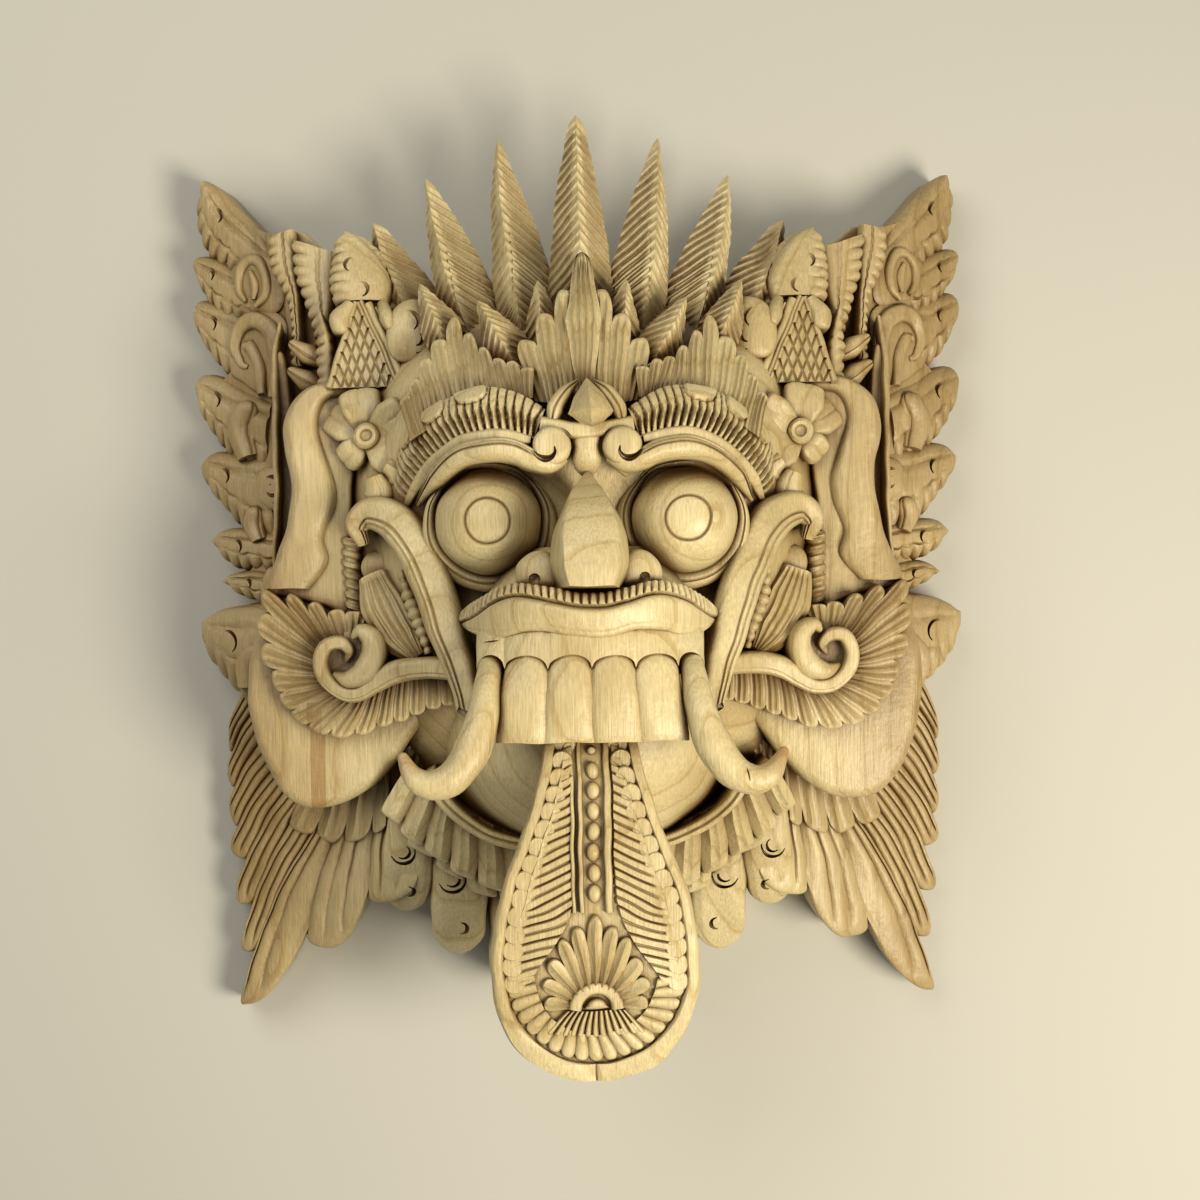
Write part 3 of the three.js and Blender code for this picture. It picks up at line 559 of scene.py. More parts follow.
# %% Boards behind the leaves
SIDE_CLOTH = [[145, 157], [139, 160], [127, 159.5], [116, 151], [92, 138], [84, 100], [100, 80],
              [136, 80], [136, 120]]
CHIN_BOARD = [[-70, -90], [70, -90], [56, -140], [26, -168], [-26, -168], [-56, -140]]
WING_LEAVES = [
    # the rolled upper edge of a leaf and its toothed lower edge, both from the root to the tip
    ([[138, 150], [150, 165], [161, 176.8], [168.4, 185], [174.6, 188.8]],
     [[146, 130], [162, 143], [175.5, 155.5], [179.4, 174], [174.6, 188.8]]),
    ([[148, 138], [160, 147], [171, 152.6], [178.4, 153.8], [179.4, 150]],
     [[150, 118], [163, 121], [173, 130], [178.6, 141.4], [179.4, 150]]),
    ([[148, 122], [161, 128.6], [171, 131.6], [178.4, 132.6], [179.4, 127.6]],
     [[146, 86], [163, 94.6], [172.6, 104.6], [178.6, 117], [179.4, 127.6]]),
    ([[142, 83], [157, 90], [168, 96], [177, 97.6], [179.4, 92]],
     [[146, 50], [162, 56], [173, 68], [178.6, 80], [179.4, 92]]),
    ([[142, 55], [153, 58.6], [165, 60.6], [173.6, 59.8], [177.6, 54]],
     [[142, 18], [157, 22], [167, 33], [175.4, 44], [177.6, 54]]),
    ([[136, 20], [147, 22.6], [158, 24.4], [168, 24], [172.8, 18.6]],
     [[136, 2], [150, 4], [160, 5], [168.6, 10.6], [172.8, 18.6]]),
    ([[136, 2], [145, 3.4], [154, 4.6], [163, 3.6], [167.6, -0.6]],
     [[136, -14], [146, -12.6], [154, -9.6], [162, -6], [167.6, -0.6]]),
    ([[138, -14], [150, -10.6], [162, -12], [173.6, -15], [178.6, -19.6]],
     [[138, -62], [152, -60], [166, -50], [177, -36], [178.6, -19.6]]),
]
WING_BOARD = [[136, 158], [150, 163], [160, 170], [170, 176], [168, 150], [172, 146], [166, 130],
              [172, 124], [164, 98], [172, 90], [162, 62], [168, 52], [158, 26], [164, 16], [154, 6],
              [160, -1], [150, -12], [168, -24], [160, -48], [140, -62], [110, -60], [110, 90], [118, 150]]
TAIL_TIPS = [[170, -75.5], [170.5, -93], [169.5, -112], [168, -130.5], [166, -153.5], [163, -176],
             [163.5, -201.5], [119, -172], [92, -149]]
TAIL_FEET = [[146, -34], [148, -60], [142, -84], [130, -94], [112, -97], [92, -84], [72, -72]]


def tail_board():
    """The board behind the tail feathers, a little inside their tips."""
    heart = [118, -88]
    edge = []
    for tip, after in zip(TAIL_TIPS, TAIL_TIPS[1:]):
        edge.append(between(tip, heart, 0.08))
        edge.append(between(between(tip, after, 0.5), heart, 0.2))
    return [*edge, between(TAIL_TIPS[-1], heart, 0.12), *TAIL_FEET[::-1]]


def boards():
    return both_sides([
        pad(SIDE_CLOTH, lambda x, y: 56 - 0.35 * (x - 105), bevel=2),
        slab(WING_BOARD, lambda x, y: wing_depth(x)),
        slab(tail_board(), lambda x, y: tail_depth(x) - 2),
    ]) + [slab(CHIN_BOARD, lambda x, y: 44)]


def box_body(low, high):
    """A plain box between two corners, used only to cut."""
    outline = [[low[0], low[1]], [high[0], low[1]], [high[0], high[1]], [low[0], high[1]]]
    return slab(outline, lambda x, y: high[2], bottom=low[2])


block = carved(
    "mask_block",
    [dome(HEAD), dome(MUZZLE, floor=90), dome(JAW, width_power=2.8), *ears(), *boards()],
    [dome(HOLLOW, rows=40, columns=40, floor=-20), box_body([-250, -250, -60], [250, 250, 0])],
)

# %% [markdown]
# ## The crown
# Seven long spikes are carved as feathers. Each has a keel, nearer its outer edge on the side spikes, and
# gouge cuts that fall away from the keel on both flanks. A shorter feather lies on each one, so the
# herringbone starts again two thirds of the way up. Three small feathers a side fill the gap above the
# palmettes.

# %% Spikes with herringbone cuts
SPIKES = [
    {"tip": [-0.8, 209.4, 58], "foot": [0, 96, 92], "half": [14, 14.6, 9.8, 3.4], "keel": 0.0},
    {"tip": [36.2, 198.6, 56], "foot": [20, 98, 90], "half": [13.5, 14.2, 8.6, 1.4], "keel": 0.4},
    {"tip": [68.8, 182.4, 53], "foot": [42, 98, 86], "half": [13.5, 14.2, 8.8, 1.4], "keel": 0.45},
    {"tip": [93.6, 162.6, 50], "foot": [62, 94, 78], "half": [13.5, 14.5, 11, 3], "keel": 0.3},
]
FRONT_SPIKES = [
    {"tip": [19, 127, 101], "foot": [15, 92, 110], "half": [8.5, 8.5, 1.6], "keel": 0.1},
    {"tip": [45, 119, 103], "foot": [28, 88, 114], "half": [9.5, 9.5, 1.6], "keel": 0.1},
    {"tip": [71, 129, 85], "foot": [56, 96, 102], "half": [9.5, 9.5, 1.6], "keel": 0.1},
]


def feather(tip, foot, half, keel, crest, thick, pitch, depth, reach=1.0, lift=0.0):
    """A keeled feather whose cuts fall back from the keel, or only its first share of the way up."""
    def lean(share, bend):
        return between(foot, tip, share * reach) + np.array([0, 0, bend + lift])

    def barbs(s, d, t, w):
        from_keel = 0.3 + 0.7 * eased(np.abs(s - keel), 0, 0.3)
        from_tip = 1 - eased(t, 0.9, 0.99)
        return depth * flutes(d / pitch) ** 1.3 * np.clip(w / 6, 0.3, 1) * from_tip * from_keel

    return strip(
        [lean(0, 0), lean(0.4, 3 * reach), lean(0.75, 2), lean(1, 0)], half, crest,
        section=lambda s: keeled(s, keel), carve=barbs, step=pitch / 7, across=14, root=thick, flare=0.75,
        keel=keel, sweep=1.05, blunt=1.6,
    )


def crown_feathers():
    feathers = []
    for spike in SPIKES:
        whole = feather(**spike, crest=[10, 10, 6, 1.4], thick=[20, 17, 12, 8], pitch=5.0, depth=2.3)
        widths = spike["half"]
        lower = dict(spike, half=[widths[0] * 0.92, widths[1] * 0.84, widths[2] * 0.75, 1.2])
        tier = feather(**lower, crest=[9, 8, 5, 1], thick=8, pitch=4.6, depth=2.0, reach=0.68, lift=2.6)
        feathers.append([whole, tier])
    small = [feather(**spike, crest=[6, 6, 1.4], thick=12, pitch=4.0, depth=1.9) for spike in FRONT_SPIKES]
    return [*feathers[0], *both_sides([b for pair in feathers[1:] for b in pair] + small)]


crown = carved("crown_feathers", crown_feathers())

# %% [markdown]
# ## Palmettes
# Three fans stand over the forehead, the tallest in the middle. Each is one sheet of wood cut into blunt
# tongues, and every tongue is hollowed lengthwise by three gouge cuts with sharp ridges between.

# %% Fans of fluted leaves
MIDDLE_FAN_TIPS = [[-32, 88], [-25.5, 99], [-17, 110.5], [-9, 121], [0, 138], [9, 121], [17, 110.5],
                   [25.5, 99], [32, 88]]
SIDE_FAN_TIPS = [[77, 76], [74.1, 83.5], [69.7, 92.3], [63.6, 100.8], [55.5, 111.2], [48.5, 103.5],
                 [42.5, 96.5], [36.8, 91], [30.4, 89.5], [24.5, 86]]


def palmettes():
    middle = fan([[-27, 72], [-9, 69], [9, 69], [27, 72]], MIDDLE_FAN_TIPS,
                 lambda x, y: 136 - 0.42 * (y - 77) - 0.006 * x * x, rise=3.6, floor=72, groove=1.5, gap=0.35,
                 notch=0.07, blunt=2)
    side = fan([[74, 56], [62, 64], [48, 71], [31, 72], [22, 72]], SIDE_FAN_TIPS,
               lambda x, y: 134 - 0.42 * (x - 30) - 0.48 * (y - 77), rise=3.6, floor=62, groove=1.4, gap=0.35,
               notch=0.06, blunt=2)
    tall = strip([[0, 76, 136], [0, 106, 125], [0, 137.5, 110]], half=[3.5, 7.6, 3], crown=[1.4, 2.5, 1],
                 carve=lambda s, d, t, w: 1.3 * flutes((s + 1) * 2.5), across=30, floor=80, blunt=4)
    return [tall, *middle, *both_sides(side)]


fans = carved("palmettes", palmettes())

# %% [markdown]
# ## Brows, eyes and nose
# A broad band of combed hair lies over each eye, cut by slanting gouge strokes, with three flat tabs
# along its top. Below it a smooth ridge with a double groove runs out to the temple and ends in a scroll
# beside the nose. The eyes are plain balls with one incised ring, and the nose is a smooth drop.

# %% Brows and jewel
EYE = [41.5, 21.5]
HAIR_BOTTOM = [[77, 32, 108], [70, 42, 119], [62, 50, 130.5], [53, 55.2, 139], [42, 57.6, 145.5],
               [30, 56.8, 148.6], [21.5, 54.6, 149]]
HAIR_TOP = [[84, 45, 100], [79, 58, 109], [71, 66.4, 118.5], [59, 73.5, 127.5], [44, 77.4, 134.5],
            [30, 75.6, 139], [17, 67, 143.6]]


def brows():
    """Combed hair with flat tabs along its top, over a ledge and a ridge that ends in a scroll."""
    tabs = [(58, 6.4, 0.62), (40, 5.8, 0.66), (21, 4.8, 0.6)]

    def combed(s, d, t):
        wide = 0.16 + 0.32 * np.clip(1 - np.abs(s + 0.3) / 0.7, 0, 1)
        cut = 3.4 * knife_cut(((d - 1.6 * np.abs(s)) / 3.5) % 1 - 0.5, wide)
        cut = cut * (0.5 + 0.5 * eased(-s, -0.4, 0.2)) * eased(s, -0.98, -0.75)
        for place, reach, fall in tabs:
            inside = np.abs((d - place) / reach) ** 3 + np.abs((s - 1) / fall) ** 3
            cut = mix(cut, -1.2, eased(-inside, -1.12, -0.98))
            cut = cut + 0.9 * knife_cut(inside - 1.3, 0.3)
        return cut

    hair = band(HAIR_BOTTOM, HAIR_TOP, crown=2.4, section=lambda s: soft_edged(s) * (0.8 - 0.5 * s * s),
                root=16, carve=combed, step=0.46, across=32)
    ledge = strip(
        [[23, 54, 147.6], [32, 55.4, 147.2], [41, 55.8, 144.6], [52, 53.6, 138], [62, 47.6, 129],
         [71, 39, 117], [77, 30, 106]],
        half=[2, 3.4, 3.6, 3.6, 3.6, 3.2, 1.2], crown=2.6, root=20, section=soft_edged, across=12)
    ridge = strip(
        [[9.4, 46.8, 148], [15, 44.2, 150], [23, 46.2, 150.6], [31, 49.6, 149.4], [41, 50.6, 146.6],
         [53, 47.6, 139], [63, 40.6, 128], [71.5, 30, 114]],
        half=[2.6, 3.8, 4.4, 4.8, 5, 4.8, 4.2, 1.4], crown=[2, 3.4, 4.4, 5, 5.4, 5, 4, 1], root=18, across=44,
        carve=lambda s, d, t, w: 1.2 * eased(t, 0.2, 0.34) * (knife_cut(s + 0.4, 0.15)
                                                             + knife_cut(s + 0.74, 0.15)),
    )
    disc = turned([(8, -8), (8, 1.6), (7.6, 3), (6.6, 3.9), (4, 4.4), (0.2, 4.5)], 14.4, 51.3, 150,
                  segments=40)
    petal = strip([[14.5, 61, 146], [13, 67, 147], [8.5, 74, 146], [4, 78, 142]], half=[2.2, 3.4, 3, 1],
                  crown=3, root=12, across=16, carve=lambda s, d, t, w: 1.2 * knife_cut(s - 0.1, 0.2))
    return both_sides([hair, ledge, ridge, disc, petal])


def jewel():
    ledge = strip([[-19, 60, 147.4], [0, 58, 149.4], [19, 60, 147.4]], half=3.6, crown=2.6,
                  section=soft_edged)
    pyramid = strip([[1.6, 59.6, 151], [1.6, 65, 153.2], [1, 72, 150], [0.4, 79, 146]],
                    half=[3.6, 9.4, 6, 0.8], crown=[1.4, 7.4, 5.4, 1], section=keeled, step=2)
    bridge = strip([[0, 61, 147], [0, 56, 148], [0, 51, 148], [0, 46, 147], [0, 42, 145], [0, 38, 143]],
                   half=[11, 6.4, 4.9, 6.4, 5, 0.6], crown=[3, 2.6, 2.4, 2.2, 1.6, 0.4], root=14)
    return [ledge, pyramid, bridge]


# %% Eyes and nose
def eyes():
    radius, pupil = 22.5, 9.4
    profile = [(21, -8)]
    for r in np.concatenate([np.linspace(22.4, 11, 14), np.linspace(10.6, 8.2, 9), np.linspace(7.4, 0.1, 8)]):
        ring = 1.3 * knife_cut(r - pupil, 0.9)
        profile.append((r, math.sqrt(radius**2 - r * r) - ring - 0.7 * eased(r, pupil + 1, pupil - 1)))
    ball = turned(profile, *EYE, 124, segments=72)
    lid = scroll(EYE, 121, [25.2], 120, 275, half=[1.5, 3.5, 4.4, 4.2, 3.5, 1.5], crown=3.4, root=22,
                 across=24, carve=lambda s, d, t, w: 0.9 * knife_cut(s - 0.15, 0.16))
    upper = scroll(EYE, 122, [25.6], 35, 100, half=[1.5, 3.4, 3.4, 1.5], crown=3, root=16, across=20,
                   carve=lambda s, d, t, w: 0.8 * knife_cut(s, 0.2))
    return both_sides([ball, lid, upper])


def nose():
    edge = [[0.4, 41.7, 145], [5.6, 33, 150.5], [10.4, 25.5, 155], [14.8, 15, 160], [16.2, 6, 162],
            [15.4, 0, 162.5], [12.9, -7.7, 163]]
    left = [[-x, y, z] for x, y, z in edge]
    bulb = band(left, edge, crown=[0.5, 6, 11, 16, 20, 21.5, 22],
                section=lambda s: np.minimum(1, 3.4 * (1 - np.abs(s))) ** 0.75 * (1 - 0.06 * s * s),
                root=22, across=36)
    wing = button([[12.9, -6], [13.5, 4], [18, 8.2], [24, 7.6], [29, 3], [30, -2.5], [29, -6], [21, -7.6]],
                  lambda x, y: 159.6 - 0.45 * (x - 15), 6.4, floor=130)
    return [bulb, *both_sides([wing])]


def brow_cuts():
    """The open notch that makes each scroll's disc a spiral, and a shallow line across the bridge."""
    notch = [polar([17, 50.4], degrees, radius) for degrees, radius in
             ((4, 6.8), (-18, 5.2), (-50, 4.6), (-85, 4.5), (-120, 4.4), (-155, 4.2), (-190, 3.6))]
    lip = [polar([17, 51.6], degrees, 3) for degrees in (-30, -75, -120, -160)]
    outline = [polar([14.4, 51.3], degrees, 8.3) for degrees in range(60, 231, 17)]
    return both_sides([
        gouge([[x, y, 153.2] for x, y in notch], 1.7, 3.4),
        gouge([[x, y, 155] for x, y in lip], 0.6, 0.8),
        gouge([[x, y, 153.4] for x, y in outline], 1.1, 3.4),
    ]) + [crescent([0, 60.4], 151.2, 10, 243, 54, 0.7, 0.9)]


nostrils = both_sides([turned([(0.3, -3.2), (1.8, -2.4), (2.4, -0.6), (2.9, 12)], 22.4, -3.2, 162.4,
                              segments=20)])
brow_piece = carved("brows_eyes_and_nose", [*brows(), *jewel(), *eyes(), *nose()],
                     [*nostrils, *brow_cuts()])

# %% [markdown]
# ## Mouth
# The moustache is a narrow combed band, and the upper lip under it a long smooth wave. The gum is almost
# flush with four broad teeth, each with an arched top, and a tusk curls outwards at either end.

# %% Lip, teeth and tusks
MOUSTACHE_TOP = [[51.5, -15.5, 134], [45.5, -11, 147], [37, -6.4, 156.5], [29.6, -5, 162], [22.6, -4.9, 167],
                 [14, -6.8, 170.5], [7, -8.6, 172.5], [0, -8.9, 173]]
LIP_TOP = [[53.5, -21, 131], [47, -18.8, 147], [38.5, -12.8, 158.5], [30, -10.5, 165.5], [22, -10.8, 170],
           [14, -13, 173], [7, -14.6, 174.7], [0, -14.7, 175]]
LIP_BOTTOM = [[52.5, -22.6, 132], [48.5, -24.6, 147], [42, -26.9, 156.5], [35, -26.3, 163.5],
              [27.5, -24.3, 169], [18, -24, 172.5], [9, -26.3, 174.5], [0, -27, 175]]
TUSK = [[40.4, -35, 158], [41.6, -45, 166], [43.6, -57, 172], [47.6, -69.5, 175.5], [55, -80.4, 178],
        [63.5, -84, 179], [71, -81, 178], [76.5, -71.4, 175]]


def across_face(half_line):
    return [*half_line, *[[-x, y, z] for x, y, z in half_line[-2::-1]]]


TOOTH_HALF = 9.7
TEETH_BOTTOM = -68.6


def teeth_and_gum():
    """Four broad teeth under scalloped arches, cut as one surface with a flat lower edge.

    The gum runs on over the tusks, where it ends in an arch of its own. Every column of the surface
    leans outwards, so the row of teeth is a tenth wider at its lower edge.
    """
    def column(x, u, tusk):
        arch = -33.6 - 5.6 * (1 - math.sqrt(max(1 - u * u, 0)))
        far, near = 0.0092 * x * x, 0.0032 * x * x
        lip_depth, arch_depth, front = 174 - far, 174.6 - mix(far, near, 0.6), 176.5 - near - 2 * u**4
        narrow = 0.9 * x
        rows = [[narrow, -20, lip_depth - 2]]
        for share in (0.25, 0.5, 0.75, 1):
            swell = 1.2 * math.sin(math.pi * min(share, 0.9))
            rows.append([narrow, mix(-20, arch, share), mix(lip_depth, arch_depth, share) + swell])
        low = 150 if tusk else mix(arch_depth - 0.6, arch_depth - 1.8, u)
        rows.append([narrow, arch - 0.5, low])
        for share in (0.06, 0.14, 0.26, 0.42, 0.6, 0.8, 0.95):
            z = low if tusk else mix(low, front, min(1, share * 2.2) ** 0.6)
            y = arch - 0.5 - share * 6 if tusk else mix(arch - 0.5, TEETH_BOTTOM + 1.2, share)
            rows.append([narrow if tusk else mix(narrow, x, share), y, z])
        last = arch - 8 if tusk else TEETH_BOTTOM
        wide = narrow if tusk else x
        rows.append([wide, last, low if tusk else front - 1.2])
        return [*rows, [wide, last, 140], [narrow, -20, 140]]

    edge = 4 * TOOTH_HALF
    tusk_half = 6.3
    right = [column(edge + 0.02 + tusk_half * (1 + k / 8), abs(k) / 8, True) for k in range(-8, 9)]
    left = [[[-x, y, z] for x, y, z in row] for row in right[::-1]]
    middle = [column((k / 24) * TOOTH_HALF * 2, abs((k % 24) - 12) / 12 if k % 24 else 1.0, False)
              for k in range(-48, 49)]
    return loft([*left, *middle, *right])


def mouth():
    # The lines run from the right corner of the mouth to the left one, so -1 is their lower edge.
    moustache = band(across_face(LIP_TOP), across_face(MOUSTACHE_TOP), crown=2.2, section=soft_edged,
                     root=16, across=8, step=0.4,
                     carve=lambda s, d, t: 1.7 * knife_cut((d / 3.3) % 1 - 0.5, 0.14 + 0.1 * (s + 1))
                     * eased(s, -0.9, -0.5))
    lip = band(across_face(LIP_BOTTOM), across_face(LIP_TOP),
               crown=[0.6, 2.4, 3.6, 4, 4, 4, 4, 4, 4, 4, 3.6, 2.4, 0.6],
               section=lambda s: soft_edged(s) * (0.68 + 0.32 * s), root=18, across=24,
               carve=lambda s, d, t: 0.35 * knife_cut(s + 0.62, 0.14))
    tusk = strip(TUSK, half=[4.8, 5.4, 6.4, 7.4, 7, 6, 4.6, 1.6], crown=[3, 5.6, 6.6, 6.4, 6, 5, 4, 1.4],
                 root=[10, 10, 9, 8, 7, 6, 4, 1.4], flare=0.5, section=full, across=20, blunt=1.4)
    return [moustache, lip, teeth_and_gum(), *both_sides([tusk])]


def cracks():
    """Hairline cracks: two under the lip's lower edge and one across a tusk, each on one side only."""
    lines = ([[-43.3, -28.4, 159], [-36.4, -27.6, 165.5]], [[-35.6, -26.7, 166.5], [-31.9, -25.9, 169]],
             [[59.4, -76.2, 184], [60.6, -80.4, 184.4], [61.3, -84.1, 184]])
    return [gouge(line, 0.45, 2.6) for line in lines]


mouth_piece = carved("lip_teeth_and_tusks", mouth(), cracks())

# %% [markdown]
# ## Cheeks and chin
# A rolled ridge with a double groove swings from the ear to the corner of the mouth. Behind it is a hollow
# filled with long feather lines, beside a rope of small tufts. The bowl of the chin ends in a double hem
# over a ruff of short fluted leaves.

# %% Cheek ridges, pockets and ruff
CHEEK_RIDGE = [[97, 14, 96], [99, 22.5, 99], [91.5, 27, 103], [79, 20.5, 111], [67.5, 0, 121],
               [59.5, -24, 130], [53, -44, 137], [50, -59.5, 141]]
JAW_HEM = [[71, -86, 96], [62, -101, 96], [49, -112, 93], [34, -118, 91], [17, -121, 90], [0, -121.5, 90]]
RUFF_TIPS = [[88, -107], [80, -117], [69, -126], [57, -134.5], [44, -141.5], [30, -146], [16, -148.5],
             [4, -149]]


def cheeks():
    ridge = strip(
        CHEEK_RIDGE, half=[3, 5.5, 7.5, 9, 9, 8, 6, 5], crown=[3, 5, 6, 6.5, 6.5, 6, 5, 3],
        root=[8, 12, 22, 28, 28, 26, 22, 16], section=soft_edged, across=40, blunt=4,
        carve=lambda s, d, t, w: 1.2 * (knife_cut(s + 0.36, 0.1) + knife_cut(s + 0.66, 0.1)),
    )
    lines = strip([[93, 0, 91], [88.5, -12, 94], [80.5, -26, 97], [73, -36, 101]],
                  half=[7, 11, 10.5, 4], crown=5, root=30, across=54, section=soft_edged,
                  carve=lambda s, d, t, w: 1.3 * flutes((s + 1) * 3.5) * eased(t, 0, 0.08))
    dark_leaf = strip([[80, 2, 97], [77, -10, 100], [72.5, -22, 102], [69, -34, 103]],
                      half=[1.5, 3.8, 3.6, 2], crown=3, root=30, teeth=(4.4, 0.4), across=8, step=0.6,
                      carve=lambda s, d, t, w: 0.9 * (1 - flutes(d / 4.4)))
    disc = turned([(7.6, -20), (7.6, 0.2), (6.8, 1.4), (5, 2.4), (2.5, 3), (0.2, 3.2)], 91, 4, 88)
    rope = strip([[103.5, 17, 82], [103, 0, 82], [102, -21, 82]], half=4.5, crown=4.6, root=24,
                 teeth=(4.7, 0.25), step=0.6, slant=0.3,
                 carve=lambda s, d, t, w: 1.8 * (1 - flutes(d / 4.7)) + 0.6 * flutes(d / 1.57))
    return both_sides([ridge, lines, dark_leaf, disc, rope])


def chin():
    hem = strip(across_face(JAW_HEM), half=3, crown=2.2, section=soft_edged, root=36, across=20,
                carve=lambda s, d, t, w: 1.1 * knife_cut(s, 0.3))
    ruff = fan([[80, -84], [62, -100], [36, -114], [-2, -119]], RUFF_TIPS,
               lambda x, y: 86 + 0.45 * (y + 110), rise=5, floor=6, notch=0.2, blunt=5, gap=0.8)
    under = fan([[74, -96], [56, -110], [30, -120], [-2, -124]],
                [[76, -124], [63, -135], [49, -145], [34, -152], [18, -156], [4, -157]],
                lambda x, y: 74 + 0.45 * (y + 120), rise=5, floor=6, notch=0.2, blunt=5, gap=0.8)
    return [hem, *both_sides([*ruff, *under])]


def ridge_slots():
    """A small slot near the foot of each cheek ridge, tilted up outwards."""
    return both_sides([strip([[50.8, -58.5, 143], [55.2, -56.3, 142.4]], half=1.3, crown=6, root=3,
                             section=soft_edged, across=4, step=1.2)])


cheek_piece = carved("cheeks_and_ruff", [*cheeks(), *chin()], ridge_slots())

# %% [markdown]
# ## Flowers and curls
# A flower of five broad, slightly hollow petals sits in the crook of each ear. Below the ear a band rolls
# up round a pit, and a fluted frill spreads from it and runs on under its arm.

# %% Flowers
FLOWER = {"x": 95, "y": 61, "z": 92}
CURL = [103.5, -38]
FRILL_TIPS = [[101, -15], [111, -14.5], [120.5, -11], [131, -7.5], [142.3, -5.5], [145, -19],
              [143.4, -33.5], [138.5, -46], [134.5, -55], [128.5, -63], [119.5, -68.5], [108.9, -71],
              [98, -69.5], [89.5, -66.5], [82, -64], [74.5, -61], [67.5, -58.5], [60.5, -57], [54, -55.5]]
FRILL_FEET = [[100, -26], [108, -27], [113, -30], [115, -35], [115, -41], [112, -47], [106, -50],
              [98, -50], [90, -47], [82, -45], [72, -43.5], [62, -43], [54, -43]]


def flowers():
    centre = [FLOWER["x"], FLOWER["y"]]

    def tilted(x, lift):
        return FLOWER["z"] + lift + 0.5 * (FLOWER["x"] - x)

    parts = []
    for degrees, reach, half in ((80, 21.6, 9.2), (150, 21, 8.8), (31, 20, 8), (222, 19.4, 9),
                                 (315, 15, 6.8)):
        places = [(polar(centre, degrees, r), h) for r, h in ((3, -1), (reach * 0.55, 1.4), (reach, -0.6))]
        line = [[x, y, tilted(x, h)] for (x, y), h in places]
        parts.append(strip(line, half=[4.4, half, half * 0.98], crown=3, section=cupped, root=14,
                           across=24, blunt=3, step=1.2,
                           carve=lambda s, d, t, w: 0.5 * knife_cut(s, 0.14) * eased(t, 0.3, 0.6)))
    profile = [(5.8, -8), (5.8, 4.4), (5.4, 6.2), (4.2, 7.2), (2.8, 6.8), (1.9, 5.2), (0.2, 4.6)]
    parts.append(turned(profile, *centre, FLOWER["z"]))
    for x, y, degrees in ((89, 36, 250), (80, 44, 215)):
        line = [[*polar([x, y], degrees + turn, r), 101] for r, turn in ((-7, 0), (0, 0), (7, 25))]
        parts.append(strip(line, half=[4, 7, 4.5], crown=4.5, root=16, blunt=4, across=20,
                           carve=lambda s, d, t, w: 0.9 * knife_cut(s - 0.25, 0.12)))
    return both_sides(parts)


# %% Curls
def curls():
    outer_roll = strip(
        [[56, -41, 117], [70, -40, 108], [84, -42, 103], [93, -47.5, 100], [99, -51, 99],
         [106.5, -50.5, 98.5], [113.5, -45, 98.5], [116.2, -37, 98.5], [113, -29.8, 98.5],
         [107, -28.8, 98], [103.4, -32.4, 96.5], [105, -36.4, 95]],
        half=[4.6, 4.8, 5, 4, 3.4, 3.4, 3.4, 3.4, 3.2, 3, 2.4, 1.2],
        crown=[4, 4, 4, 4, 4, 4, 4, 4, 4, 3.6, 3, 1.6],
        section=soft_edged, root=16, step=1.2, across=16,
        carve=lambda s, d, t, w: 0.8 * knife_cut(s - 0.55, 0.14) * (1 - eased(t, 0.5, 0.6)))
    inner_roll = strip(
        [[110.5, -42.5, 97], [104, -44.6, 98.6], [96.6, -42, 100], [92.5, -35, 100], [93.6, -27.6, 100],
         [98.5, -24, 99.5], [102, -26.5, 98]],
        half=[1.6, 4.4, 6.2, 6, 5, 3.6, 1.4], crown=[2, 5, 6.4, 6.4, 6, 4.5, 2], root=16, step=1.4,
        across=14)
    pit = turned([(13, -14), (13, -0.6), (11, 0), (0.2, 0)], 104, -37, 94, segments=24)
    x, y = CURL
    frill = fan(FRILL_FEET, FRILL_TIPS, lambda px, py: 95.5 - 0.16 * math.hypot(px - x, (py - y) * 0.8)
                + 0.34 * max(0, 92 - px), rise=4, floor=60, notch=0.1, gap=0.42, groove=1.3, blunt=2.2)
    return both_sides([outer_roll, inner_roll, pit, *frill])


ear_piece = carved("flowers_and_curls", [*flowers(), *curls()])

# %% [markdown]
# ## Headdress and wings
# Beside the palmettes stand a tall leaf with crescent cuts, a small latticed gable, and two columns of
# toothed leaves. The wings are boards that slope back, cut into big toothed leaves round two rolled
# scrolls.

# %% Headdress leaves
TALL_LEAF = ([[85, 121.5], [84.2, 131], [90, 143], [98.6, 152], [106.2, 155.2]],
             [[110.5, 121.5], [112.4, 131], [112, 141], [110.8, 149.6], [106.2, 155.2]])
GABLE = [[99.6, 121], [111, 83], [82.5, 83]]
ROUND_LEAF = [[86, 110], [82.6, 118.7], [74.1, 122.5], [66.6, 119.4], [61.7, 111.2], [63.6, 101.9],
              [70, 95.3], [80.9, 94.2], [86.1, 100]]
TALL_LEAF_BACK = ([[108, 121.5], [110, 131], [109, 141], [107, 149], [102, 155.6]],
                  [[79.6, 116], [79.4, 129], [85.6, 142.6], [94.4, 152.6], [102, 155.6]])
COLUMN_LEAVES = [
    # the smooth inner edge and the toothed outer edge of the leaves between the tall leaf and the wing
    ([[114, 92], [112.4, 118], [110, 136], [109.6, 147]],
     [[119, 92], [121.4, 112], [129, 136], [131.4, 154]]),
    ([[126, 96], [127.4, 128], [128.6, 148], [130, 159.4]],
     [[132, 96], [132.6, 122], [141.4, 142], [142.6, 156.6]]),
]


def sloped(height, x0, y0, along_x, along_y):
    """A depth function for a plane."""
    return lambda x, y: height + along_x * (x - x0) + along_y * (y - y0)


